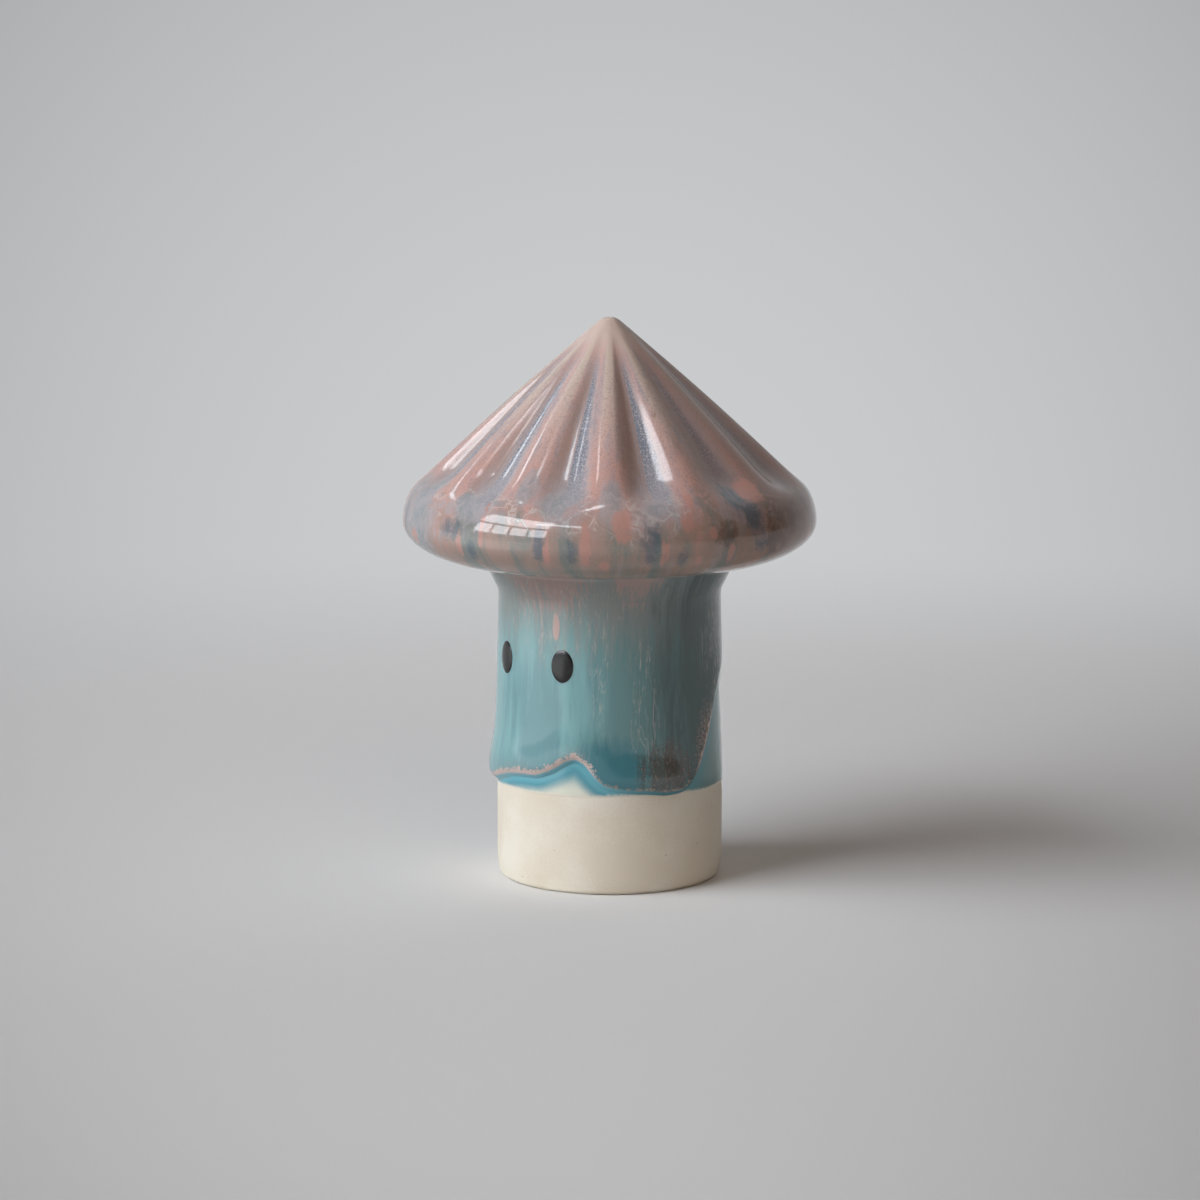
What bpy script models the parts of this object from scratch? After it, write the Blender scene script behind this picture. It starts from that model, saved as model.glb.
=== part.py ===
"""A small ceramic mushroom: a hollow stem and a hollow lobed cap, luted with slip, glazed, with eye spots.

Run it in Blender 4.5. Lengths are in metres and +Z is up. The origin is in the middle of the foot, on the
surface that the figurine stands on, and the face looks along -Y. An azimuth is an angle about +Z, counted
from the face towards +X.
"""

import math

import bmesh
import bpy
from mathutils import Vector

MM = 0.001

# Outside of the cap, over its glaze
TOTAL_HEIGHT = 80.0 * MM
CAP_RADIUS = 29.4 * MM
RIM_HEIGHT = 51.2 * MM
RIM_ROUND = 8.2 * MM
TIP_RADIUS = 2.4 * MM
CONE_BULGE = 0.3 * MM
LIP_DROP = 5.6 * MM

# Flutes of the cap, with lengths counted along the slope from the point of the cone
FLUTE_COUNT = 13
FLUTE_DEPTH = 1.6 * MM
FLUTE_VALLEY_AZIMUTH = math.radians(2.3)
FLUTE_TIP_GAP = 4.0 * MM
FLUTE_RAMP = 16.0 * MM
FLUTE_FADE = 8.0 * MM
FLUTE_OVERRUN = 3.0 * MM

# Clay castings
STEM_RADIUS = 16.1 * MM
STEM_DRAFT = math.radians(2.2)
STRAIGHT_HEIGHT = 12.0 * MM
CLAY_WALL = 4.0 * MM
FLOOR_THICKNESS = 4.0 * MM
FLOOR_FILLET = 1.5 * MM
DRAIN_RADIUS = 5.0 * MM
DRAIN_CHAMFER = 0.6 * MM
FOOT_TAPER_HEIGHT = 3.5 * MM
FOOT_TAPER = 0.3 * MM
FOOT_ROUND = 0.8 * MM
CAVITY_TIP_RADIUS = 2.0 * MM

# Slip between cap and stem, and the fillet that shows over it
SLIP_THICKNESS = 0.9 * MM
SLIP_LAND = 0.5 * MM
NECK_FILLET = 7.2 * MM
NECK_SWEEP = math.radians(50.0)

# Glaze coats
CAP_COAT = 0.35 * MM
FIRST_COAT = 0.2 * MM
DIP_HEIGHT = 13.5 * MM
DIP_TILT = 0.6 * MM
DIP_TILT_AZIMUTH = math.radians(40.0)
CURTAIN_COAT = 0.25 * MM
HEM_HEIGHT = 13.4 * MM
HEM_ROLL = 0.45 * MM
HEM_ROLL_HEIGHT = 6.0 * MM

# Bays where the hem of the curtain stopped higher: azimuth, rise, and reach on either side
HEM_BAYS = (
    (math.radians(-1.0), 2.7 * MM, math.radians(30.0), math.radians(30.0)),
    (math.radians(26.5), 4.5 * MM, math.radians(12.0), math.radians(12.0)),
    (math.radians(134.0), 24.0 * MM, math.radians(28.0), math.radians(24.0)),
    (math.radians(232.0), 6.0 * MM, math.radians(20.0), math.radians(26.0)),
)

# Eye spots
EYE_WIDTH = 3.4 * MM
EYE_HEIGHT = 4.6 * MM
EYE_LEVEL = 32.5 * MM
EYE_AZIMUTH = math.radians(20.0)
EYE_COAT = 0.3 * MM

# Clearance between neighbouring solids
GAP = 0.2 * MM

# Facets
FLUTE_STEPS = 6
CAP_STEPS = FLUTE_STEPS * FLUTE_COUNT
STEM_STEPS = 60
TIP_STEPS = 2
CONE_STEPS = 6
RIM_STEPS = 3
LIP_STEPS = 4
FILLET_STEPS = 3
CURTAIN_STEPS = 3
HEM_ROLL_SHARES = (1.0, 0.6, 0.3, 0.12)
HEM_FULL_SHARE = 0.3
EYE_STEPS = 28
MERGE_DISTANCE = 0.001 * MM
SHARP_ANGLE = math.radians(35.0)

# Sizes that follow from the ones above
CLAY_INSET = CAP_COAT + GAP
CAVITY_INSET = CLAY_INSET + CLAY_WALL
CLAY_UNDERSIDE = RIM_HEIGHT - LIP_DROP + CLAY_INSET
SLIP_TOP = CLAY_UNDERSIDE - GAP
SLIP_BOTTOM = SLIP_TOP - SLIP_THICKNESS
STEM_TOP = SLIP_BOTTOM - GAP
SLIP_FILLET = NECK_FILLET + CURTAIN_COAT + GAP
FILLET_BOTTOM = SLIP_TOP - SLIP_FILLET * math.sin(NECK_SWEEP)
SKIRT_BOTTOM = FILLET_BOTTOM - SLIP_LAND
CURTAIN_TOP = RIM_HEIGHT - LIP_DROP - GAP


def stem_radius(height):
    """Radius of the bare clay stem: straight at the foot, then narrowing so that it leaves its mould."""
    return STEM_RADIUS - max(0.0, height - STRAIGHT_HEIGHT) * math.tan(STEM_DRAFT)


def bore_radius(height):
    """Radius of the hollow in the stem."""
    return stem_radius(height) - CLAY_WALL


def first_coat_radius(height):
    """Outside radius of the first glaze coat."""
    return stem_radius(height) + GAP + FIRST_COAT


def curtain_radius(height):
    """Outside radius of the glaze curtain, without the roll at its hem."""
    return first_coat_radius(height) + GAP + CURTAIN_COAT


def fillet_centre():
    """Middle of the hollow fillet under the cap. Below it, the slip lies flush with the first coat."""
    return (first_coat_radius(SKIRT_BOTTOM) + SLIP_FILLET, FILLET_BOTTOM)


def slip_reach():
    """Radius of the slip ring where its fillet meets the cap."""
    return fillet_centre()[0] - SLIP_FILLET * math.cos(NECK_SWEEP)


def neck_radius():
    """Radius where the glaze under the cap ends, just clear of the slip."""
    return slip_reach() + GAP


def cone_angle():
    """Elevation of the cone's normal: the cone touches both the rounded tip and the rounded rim."""
    across = CAP_RADIUS - RIM_ROUND
    upwards = TOTAL_HEIGHT - TIP_RADIUS - RIM_HEIGHT
    return math.acos((TIP_RADIUS - RIM_ROUND) / math.hypot(across, upwards)) - math.atan2(upwards, across)


def cone_offset():
    """Distance from the origin to the line of the cone, in the plane of the profile."""
    angle = cone_angle()
    rim_centre = (CAP_RADIUS - RIM_ROUND) * math.cos(angle) + RIM_HEIGHT * math.sin(angle)
    return rim_centre + RIM_ROUND


def arc(centre, radii, start, end, steps):
    """Points on an elliptic arc in the plane of the profile, both ends included."""
    points = []
    for step in range(steps + 1):
        angle = start + (end - start) * step / steps
        points.append((centre[0] + radii[0] * math.cos(angle), centre[1] + radii[1] * math.sin(angle)))
    return points


def cap_profile(inset, tip_radius, cone_steps):
    """Half outline of the cap from its tip to its neck, moved inwards by a wall or coat."""
    angle = cone_angle()
    tip_centre = (cone_offset() - inset - tip_radius) / math.sin(angle)
    rim_centre = (CAP_RADIUS - RIM_ROUND, RIM_HEIGHT)
    lip_centre = (neck_radius(), RIM_HEIGHT)
    rim_radius = RIM_ROUND - inset
    lip_radii = (CAP_RADIUS - inset - neck_radius(), LIP_DROP - inset)
    tip = arc((0.0, tip_centre), (tip_radius, tip_radius), math.pi / 2, angle, TIP_STEPS)
    rim = arc(rim_centre, (rim_radius, rim_radius), angle, 0.0, RIM_STEPS)
    lip = arc(lip_centre, lip_radii, 0.0, -math.pi / 2, LIP_STEPS)
    outwards = (math.cos(angle), math.sin(angle))
    cone = []
    for step in range(1, cone_steps):
        share = step / cone_steps
        bulge = CONE_BULGE * math.sin(math.pi * share)
        cone.append(tuple(a + (b - a) * share + bulge * n for a, b, n in zip(tip[-1], rim[0], outwards)))
    tip[0] = (0.0, tip[0][1])
    return tip + cone + rim + lip[1:]


def smoothstep(share):
    """Eases a share from 0 to 1."""
    share = min(1.0, max(0.0, share))
    return share * share * (3.0 - 2.0 * share)


def flute_depth(slope_length, azimuth):
    """Depth under the crests at a distance down the slope: round lobes that meet in sharp flutes."""
    angle = cone_angle()
    rim_start = (CAP_RADIUS - RIM_ROUND + RIM_ROUND * math.cos(angle)) / math.sin(angle)
    rise = smoothstep((slope_length - FLUTE_TIP_GAP) / FLUTE_RAMP)
    fall = smoothstep((rim_start + FLUTE_OVERRUN - slope_length) / FLUTE_FADE)
    half_lobe = math.pi / FLUTE_COUNT
    crest = FLUTE_VALLEY_AZIMUTH + half_lobe
    off_crest = math.remainder(azimuth - crest, 2.0 * half_lobe) / half_lobe
    return FLUTE_DEPTH * rise * fall * off_crest ** 2


def dip_height(azimuth):
    """Height of the line to which the stem was dipped, a little aslant."""
    return DIP_HEIGHT + DIP_TILT * math.cos(azimuth - DIP_TILT_AZIMUTH)


def hem_height(azimuth):
    """Height of the curtain's hem around the stem: a low line with bays in it."""
    height = HEM_HEIGHT
    for centre, rise, before, after in HEM_BAYS:
        turn = math.remainder(azimuth - centre, 2.0 * math.pi)
        reach = before if turn < 0.0 else after
        height += rise * math.exp(-((turn / reach) ** 2))
    return height


def hem_roll(share):
    """Extra thickness of the curtain, where share counts from its hem to the top of the roll."""
    return HEM_ROLL * smoothstep((1.0 - share) / (1.0 - HEM_FULL_SHARE))


def eye_seat(azimuth, height):
    """Radius on which an eye spot lies: just over the curtain and the roll of its hem."""
    hang = (SKIRT_BOTTOM - HEM_HEIGHT) / (SKIRT_BOTTOM - hem_height(azimuth))
    level = SKIRT_BOTTOM - (SKIRT_BOTTOM - height) * hang
    return curtain_radius(height) + hem_roll((level - HEM_HEIGHT) / HEM_ROLL_HEIGHT) + GAP


def azimuth_of(point):
    """Azimuth of a point, counted from the face."""
    return math.atan2(point.x, -point.y)


def make_material(name, colour, roughness, coat=0.0):
    """A Principled material with the part's colour."""
    material = bpy.data.materials.new(name)
    material.use_nodes = True
    shader = material.node_tree.nodes["Principled BSDF"]
    shader.inputs["Base Color"].default_value = (*colour, 1.0)
    shader.inputs["Roughness"].default_value = roughness
    shader.inputs["Metallic"].default_value = 0.0
    shader.inputs["Coat Weight"].default_value = coat
    return material


def add_part(name, mesh, material):
    """Puts a mesh into the figurine's collection, under its origin."""
    mesh.materials.append(material)
    part = bpy.data.objects.new(name, mesh)
    part.parent = origin
    collection.objects.link(part)
    return part


def turn_profile(name, profile, steps, material, closed=True):
    """Turns a profile about +Z. It runs down its outer side, then back up the inner one."""
    mesh = bpy.data.meshes.new(name)
    edges = [(i, i + 1) for i in range(len(profile) - 1)]
    if closed:
        edges.append((len(profile) - 1, 0))
    mesh.from_pydata([(radius, 0.0, height) for radius, height in profile], edges, [])
    part = add_part(name, mesh, material)
    screw = part.modifiers.new("turn", "SCREW")
    screw.axis = "Z"
    screw.angle = 2.0 * math.pi
    screw.steps = steps
    screw.render_steps = steps
    screw.use_merge_vertices = True
    screw.merge_threshold = MERGE_DISTANCE
    screw.use_smooth_shade = True
    return part


def reshape(part, move):
    """Applies a part's modifiers and moves each of its points by a rule.

    Nested surfaces are split along the same diagonals, so that they keep their distance.
    """
    evaluated = part.evaluated_get(bpy.context.evaluated_depsgraph_get())
    mesh = bpy.data.meshes.new_from_object(evaluated)
    part.modifiers.clear()
    part.data = mesh
    shape = bmesh.new()
    shape.from_mesh(mesh)
    for vertex in shape.verts:
        vertex.co = move(vertex.co)
    bmesh.ops.triangulate(shape, faces=shape.faces, quad_method="SHORT_EDGE")
    shape.to_mesh(mesh)
    shape.free()
    mesh.shade_smooth()
    mesh.set_sharp_from_angle(angle=SHARP_ANGLE)


def press_flutes(point):
    """Presses the flutes into a point of the cap's outer side, square to the cone."""
    angle = cone_angle()
    radius = math.hypot(point.x, point.y)
    inset = cone_offset() - radius * math.cos(angle) - point.z * math.sin(angle)
    if radius < MERGE_DISTANCE or point.z <= RIM_HEIGHT or inset > (CLAY_INSET + CAVITY_INSET) / 2.0:
        return point
    slope_length = (radius + inset * math.cos(angle)) / math.sin(angle)
    depth = flute_depth(slope_length, azimuth_of(point))
    shrink = 1.0 - depth * math.cos(angle) / radius
    return Vector((point.x * shrink, point.y * shrink, point.z - depth * math.sin(angle)))


def move_lower_edge(point, level, edge):
    """Stretches a coat below the slip, along the stem, so that its lower edge moves from level to edge."""
    share = max(0.0, SKIRT_BOTTOM - point.z) / (SKIRT_BOTTOM - level)
    height = point.z + (edge - level) * share
    scale = 1.0 + (stem_radius(height) - stem_radius(point.z)) / math.hypot(point.x, point.y)
    return Vector((point.x * scale, point.y * scale, height))


def tilt_dip_line(point):
    """Lays the lower edge of the first coat along the slanting dip line."""
    return move_lower_edge(point, DIP_HEIGHT, dip_height(azimuth_of(point)))


def drape_hem(point):
    """Lays the lower edge of the curtain along its hem."""
    return move_lower_edge(point, HEM_HEIGHT, hem_height(azimuth_of(point)))


def build_stem_casting(material):
    """The hollow clay stem with a floor, a drain hole and a rounded foot."""
    foot_radius = STEM_RADIUS - FOOT_TAPER
    round_centre = (foot_radius - FOOT_ROUND, FOOT_ROUND)
    fillet_height = FLOOR_THICKNESS + FLOOR_FILLET
    fillet_centre = (bore_radius(fillet_height) - FLOOR_FILLET, fillet_height)
    profile = [(stem_radius(height), height) for height in (STEM_TOP, STRAIGHT_HEIGHT, FOOT_TAPER_HEIGHT)]
    profile += arc(round_centre, (FOOT_ROUND, FOOT_ROUND), 0.0, -math.pi / 2, FILLET_STEPS)
    profile += [(DRAIN_RADIUS + DRAIN_CHAMFER, 0.0), (DRAIN_RADIUS, DRAIN_CHAMFER)]
    profile += [(DRAIN_RADIUS, FLOOR_THICKNESS)]
    profile += arc(fillet_centre, (FLOOR_FILLET, FLOOR_FILLET), -math.pi / 2, 0.0, FILLET_STEPS)
    profile += [(bore_radius(height), height) for height in (STRAIGHT_HEIGHT, STEM_TOP)]
    return turn_profile("stem_casting", profile, STEM_STEPS, material)


def build_cap_casting(material):
    """The hollow clay cap, open where it stands on the stem."""
    mouth = bore_radius(STEM_TOP)
    outside = cap_profile(CLAY_INSET, TIP_RADIUS - CLAY_INSET, CONE_STEPS)
    cavity = cap_profile(CAVITY_INSET, CAVITY_TIP_RADIUS, 1)
    cavity_floor = cavity[-1][1]
    profile = outside + [(mouth, CLAY_UNDERSIDE), (mouth, cavity_floor)] + cavity[::-1]
    part = turn_profile("cap_casting", profile, CAP_STEPS, material, closed=False)
    reshape(part, press_flutes)
    return part


def build_luting_slip(material):
    """The slip between the two castings, squeezed out into a fillet over the top of the stem."""
    mouth = bore_radius(STEM_TOP)
    stem_side = stem_radius(SKIRT_BOTTOM) + GAP
    radii = (SLIP_FILLET, SLIP_FILLET)
    profile = arc(fillet_centre(), radii, math.pi - NECK_SWEEP, math.pi, FILLET_STEPS)
    profile += [(stem_side + FIRST_COAT, SKIRT_BOTTOM), (stem_side, SKIRT_BOTTOM)]
    profile += [(stem_side, SLIP_BOTTOM), (mouth, SLIP_BOTTOM), (mouth, SLIP_TOP)]
    return turn_profile("luting_slip", profile, STEM_STEPS, material)


def build_first_coat(material):
    """The first glaze on the stem, thinning to its dip line."""
    top = SKIRT_BOTTOM - GAP
    edge = DIP_HEIGHT + FIRST_COAT
    inner_edge = stem_radius(DIP_HEIGHT) + GAP
    profile = [(first_coat_radius(top), top), (first_coat_radius(edge), edge)]
    profile += [(inner_edge + FIRST_COAT / 2.0, DIP_HEIGHT), (inner_edge, DIP_HEIGHT)]
    profile += [(stem_radius(top) + GAP, top)]
    part = turn_profile("first_coat", profile, STEM_STEPS, material)
    reshape(part, tilt_dip_line)
    return part


def build_cap_glaze(material):
    """The glaze over the whole cap, down to the slip under it."""
    outside = cap_profile(0.0, TIP_RADIUS, CONE_STEPS)
    inside = cap_profile(CAP_COAT, TIP_RADIUS - CAP_COAT, CONE_STEPS)
    part = turn_profile("cap_glaze", outside + inside[::-1], CAP_STEPS, material, closed=False)
    reshape(part, press_flutes)
    return part


def build_glaze_curtain(material):
    """The second glaze: it starts on the slip fillet, hangs down the stem and stops in a rolled hem."""
    centre = fillet_centre()
    inner_fillet = NECK_FILLET + CURTAIN_COAT
    climb = CURTAIN_TOP - FILLET_BOTTOM
    outer_top = math.pi - math.asin(climb / NECK_FILLET)
    inner_top = math.pi - math.asin(climb / inner_fillet)
    roll_top = HEM_HEIGHT + HEM_ROLL_HEIGHT
    profile = arc(centre, (NECK_FILLET, NECK_FILLET), outer_top, math.pi, FILLET_STEPS)
    for step in range(CURTAIN_STEPS):
        height = SKIRT_BOTTOM + (roll_top - SKIRT_BOTTOM) * step / CURTAIN_STEPS
        profile.append((curtain_radius(height), height))
    for share in HEM_ROLL_SHARES:
        height = HEM_HEIGHT + HEM_ROLL_HEIGHT * share
        profile.append((curtain_radius(height) + hem_roll(share), height))
    profile.append((curtain_radius(HEM_HEIGHT), HEM_HEIGHT))
    for height in (HEM_HEIGHT, roll_top, SKIRT_BOTTOM):
        profile.append((first_coat_radius(height) + GAP, height))
    profile += arc(centre, (inner_fillet, inner_fillet), math.pi, inner_top, FILLET_STEPS)
    part = turn_profile("glaze_curtain", profile, STEM_STEPS, material)
    reshape(part, drape_hem)
    return part


def build_eye(name, azimuth, material):
    """An oval spot of fired colour, wrapped onto the curtain."""
    mesh = bpy.data.meshes.new(name)
    shape = bmesh.new()
    bmesh.ops.create_circle(shape, cap_ends=True, cap_tris=True, segments=EYE_STEPS, radius=1.0)
    for vertex in shape.verts:
        height = EYE_LEVEL + vertex.co.y * EYE_HEIGHT / 2.0
        turn = azimuth + vertex.co.x * EYE_WIDTH / 2.0 / curtain_radius(height)
        radius = eye_seat(turn, height)
        vertex.co = (radius * math.sin(turn), -radius * math.cos(turn), height)
    shape.to_mesh(mesh)
    shape.free()
    part = add_part(name, mesh, material)
    solidify = part.modifiers.new("coat", "SOLIDIFY")
    solidify.thickness = EYE_COAT
    solidify.offset = 1.0
    return part


for old in list(bpy.data.objects):
    bpy.data.objects.remove(old, do_unlink=True)

collection = bpy.data.collections.new("ceramic_mushroom")
bpy.context.scene.collection.children.link(collection)
origin = bpy.data.objects.new("mushroom_origin", None)
collection.objects.link(origin)

bisque = make_material("bisque_clay", (0.78, 0.72, 0.60), 0.85)
slip = make_material("slip", (0.74, 0.68, 0.57), 0.85)
light_blue = make_material("light_blue_glaze", (0.33, 0.60, 0.64), 0.15, coat=1.0)
rose = make_material("rose_glaze", (0.58, 0.43, 0.40), 0.15, coat=1.0)
teal = make_material("teal_glaze", (0.16, 0.38, 0.42), 0.12, coat=1.0)
enamel = make_material("dark_enamel", (0.012, 0.010, 0.010), 0.25, coat=0.5)

build_stem_casting(bisque)
build_cap_casting(bisque.copy())
build_luting_slip(slip)
build_first_coat(light_blue)
build_cap_glaze(rose)
build_glaze_curtain(teal)
build_eye("left_eye", EYE_AZIMUTH, enamel)
build_eye("right_eye", -EYE_AZIMUTH, enamel.copy())
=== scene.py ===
"""Looks of a small ceramic mushroom: running glazes, bare clay, a window-lit studio and the camera.

Lengths in the dataclasses are in millimetres and angles in degrees, unless a class says otherwise. An azimuth
is counted from the side that the camera looks at, towards the right of the picture.
"""

import logging
import math
from dataclasses import dataclass
from enum import Enum
from typing import Any, Optional, Sequence, Union

import bmesh
import bpy
import numpy as np
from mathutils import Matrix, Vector


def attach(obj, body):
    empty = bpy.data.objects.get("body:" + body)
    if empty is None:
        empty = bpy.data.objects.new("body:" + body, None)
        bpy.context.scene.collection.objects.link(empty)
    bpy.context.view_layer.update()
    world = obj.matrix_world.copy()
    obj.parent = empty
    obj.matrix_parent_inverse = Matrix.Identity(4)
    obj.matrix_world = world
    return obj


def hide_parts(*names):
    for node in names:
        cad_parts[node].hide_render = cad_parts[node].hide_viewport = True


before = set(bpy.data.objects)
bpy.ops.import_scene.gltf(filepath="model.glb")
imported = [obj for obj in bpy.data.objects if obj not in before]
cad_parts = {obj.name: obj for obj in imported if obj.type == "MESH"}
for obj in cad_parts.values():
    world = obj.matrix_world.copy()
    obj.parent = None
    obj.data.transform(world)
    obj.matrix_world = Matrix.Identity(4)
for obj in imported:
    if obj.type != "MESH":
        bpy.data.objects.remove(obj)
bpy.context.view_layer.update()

log = logging.getLogger("mushroom")

MM = 0.001
BODY = "root"
VIEW_AZIMUTH = 44.3
SHARP_ANGLE = math.radians(50.0)
GLAZE_IOR = 1.5
SEAM_DISTANCE = 0.001 * MM
POLE_DISTANCE = 0.0005 * MM
BLACK = (0.0, 0.0, 0.0, 1.0)

Colour = tuple[float, float, float, float]
Span = tuple[float, float]
Point = tuple[float, float]
Array = np.ndarray


def srgb(red: float, green: float, blue: float) -> Colour:
    """Turns a colour written in screen values from 0 to 255 into linear light.

    Args:
        red: Red value.
        green: Green value.
        blue: Blue value.

    Returns:
        Linear red, green and blue, with an alpha of 1.
    """
    linear = []
    for value in (red, green, blue):
        share = value / 255.0
        linear.append(share / 12.92 if share <= 0.04045 else ((share + 0.055) / 1.055) ** 2.4)
    return (linear[0], linear[1], linear[2], 1.0)


def turn_between(azimuth: Array, centre: float) -> Array:
    """Signed angles from a centre to azimuths, in degrees, the short way round."""
    return (azimuth - centre + 180.0) % 360.0 - 180.0


class Slot(Enum):
    """Material slots that the pieces' finishes belong to."""

    BISQUE = "bisque_clay"
    LIGHT_BLUE = "light_blue_glaze"
    ROSE = "rose_glaze"
    TEAL = "teal_glaze"
    ENAMEL = "dark_enamel"


class Side(Enum):
    """The figurine's own sides, with the sign of their azimuth from its face."""

    LEFT = 1.0
    RIGHT = -1.0


class Value:
    """A socket of a node tree that takes part in arithmetic."""

    def __init__(self, graph: "Graph", socket: bpy.types.NodeSocket) -> None:
        """Keeps the socket and the graph that its nodes go into."""
        self.graph = graph
        self.socket = socket

    def __add__(self, other: "Number") -> "Value":
        """Sum of two values."""
        return self.graph.math("ADD", self, other)

    def __radd__(self, other: "Number") -> "Value":
        """Sum with a number on the left."""
        return self.graph.math("ADD", other, self)

    def __sub__(self, other: "Number") -> "Value":
        """Difference of two values."""
        return self.graph.math("SUBTRACT", self, other)

    def __rsub__(self, other: "Number") -> "Value":
        """Difference with a number on the left."""
        return self.graph.math("SUBTRACT", other, self)

    def __mul__(self, other: "Number") -> "Value":
        """Product of two values."""
        return self.graph.math("MULTIPLY", self, other)

    def __rmul__(self, other: "Number") -> "Value":
        """Product with a number on the left."""
        return self.graph.math("MULTIPLY", other, self)

    def __truediv__(self, other: "Number") -> "Value":
        """Quotient of two values."""
        return self.graph.math("DIVIDE", self, other)

    def __rtruediv__(self, other: "Number") -> "Value":
        """Quotient with a number on the left."""
        return self.graph.math("DIVIDE", other, self)

    def __neg__(self) -> "Value":
        """The value with its sign changed."""
        return self.graph.math("MULTIPLY", self, -1.0)

    def sway(self, amount: float) -> "Value":
        """Noise from 0 to 1, moved to lie about 0 and stretched to an amount."""
        return (self - 0.5) * amount


Number = Union[int, float, Value]


class Graph:
    """A node tree with short ways to add nodes to it."""

    def __init__(self, tree: bpy.types.NodeTree) -> None:
        """Keeps the tree that the nodes go into."""
        self.tree = tree

    def node(self, kind: str, settings: Optional[dict[str, Any]] = None,
             inputs: Optional[dict[Any, Any]] = None) -> bpy.types.Node:
        """Adds a node.

        Args:
            kind: Type name of the node.
            settings: Properties of the node, which are set first.
            inputs: Values or links, keyed by the name or the number of the socket.

        Returns:
            The new node.
        """
        node = self.tree.nodes.new(kind)
        for name, setting in (settings or {}).items():
            setattr(node, name, setting)
        for key, value in (inputs or {}).items():
            if isinstance(value, Value):
                self.tree.links.new(value.socket, node.inputs[key])
            else:
                node.inputs[key].default_value = value
        return node

    def read(self, node: bpy.types.Node, output: Union[int, str] = 0) -> Value:
        """One output of a node, for use in expressions."""
        return Value(self, node.outputs[output])

    def math(self, operation: str, *values: Number) -> Value:
        """A Math node on one to three values."""
        return self.read(self.node("ShaderNodeMath", {"operation": operation}, dict(enumerate(values))))

    def vector_math(self, operation: str, *values: Any) -> Value:
        """A Vector Math node on vectors."""
        return self.read(self.node("ShaderNodeVectorMath", {"operation": operation}, dict(enumerate(values))))

    def dot(self, first: Any, second: Any) -> Value:
        """Scalar product of two vectors."""
        node = self.node("ShaderNodeVectorMath", {"operation": "DOT_PRODUCT"}, {0: first, 1: second})
        return self.read(node, "Value")

    def length(self, vector: Value) -> Value:
        """Length of a vector."""
        return self.read(self.node("ShaderNodeVectorMath", {"operation": "LENGTH"}, {0: vector}), "Value")

    def cosine(self, angle: Value) -> Value:
        """Cosine of an angle."""
        return self.math("COSINE", angle)

    def sine(self, angle: Value) -> Value:
        """Sine of an angle."""
        return self.math("SINE", angle)

    def greatest(self, first: Number, second: Number) -> Value:
        """The greater one of two values."""
        return self.math("MAXIMUM", first, second)

    def combine(self, x: Number, y: Number, z: Number) -> Value:
        """A vector made of three values."""
        return self.read(self.node("ShaderNodeCombineXYZ", inputs={0: x, 1: y, 2: z}))

    def separate(self, vector: Value) -> tuple[Value, Value, Value]:
        """The three values of a vector."""
        node = self.node("ShaderNodeSeparateXYZ", inputs={0: vector})
        return self.read(node, 0), self.read(node, 1), self.read(node, 2)

    def step(self, value: Value, low: float, high: float) -> Value:
        """Eases a value from 0 at low to 1 at high. Low may be the greater one."""
        node = self.node("ShaderNodeMapRange", {"interpolation_type": "SMOOTHSTEP"},
                         {"Value": value, "From Min": low, "From Max": high})
        return self.read(node)

    def clamp(self, value: Value) -> Value:
        """Keeps a value between 0 and 1."""
        return self.read(self.node("ShaderNodeClamp", inputs={"Value": value}))

    def mix(self, factor: Number, first: Any, second: Any) -> Value:
        """Mixes two colours."""
        node = self.node("ShaderNodeMix", {"data_type": "RGBA"}, {0: factor, 6: first, 7: second})
        return self.read(node, 2)

    def noise(self, vector: Value, scale: float, detail: float = 3.0, roughness: float = 0.5,
              distortion: float = 0.0) -> Value:
        """Noise from 0 to 1 about 0.5."""
        node = self.node("ShaderNodeTexNoise", inputs={"Vector": vector, "Scale": scale, "Detail": detail,
                                                       "Roughness": roughness, "Distortion": distortion})
        return self.read(node)

    def warp(self, vector: Value, scale: float, amount: float) -> Value:
        """A place that is pushed about by noise.

        Args:
            vector: The place.
            scale: Scale of the noise.
            amount: About four times the longest push.

        Returns:
            The place that was pushed.
        """
        node = self.node("ShaderNodeTexNoise", inputs={"Vector": vector, "Scale": scale, "Detail": 2.0})
        push = self.vector_math("SUBTRACT", self.read(node, "Color"), (0.5, 0.5, 0.5))
        push = self.vector_math("MULTIPLY", push, (amount, amount, amount))
        return self.vector_math("ADD", vector, push)

    def cells(self, vector: Value, scale: float) -> Value:
        """Distance to the nearest of scattered points, in cells."""
        return self.read(self.node("ShaderNodeTexVoronoi", inputs={"Vector": vector, "Scale": scale}))


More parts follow.
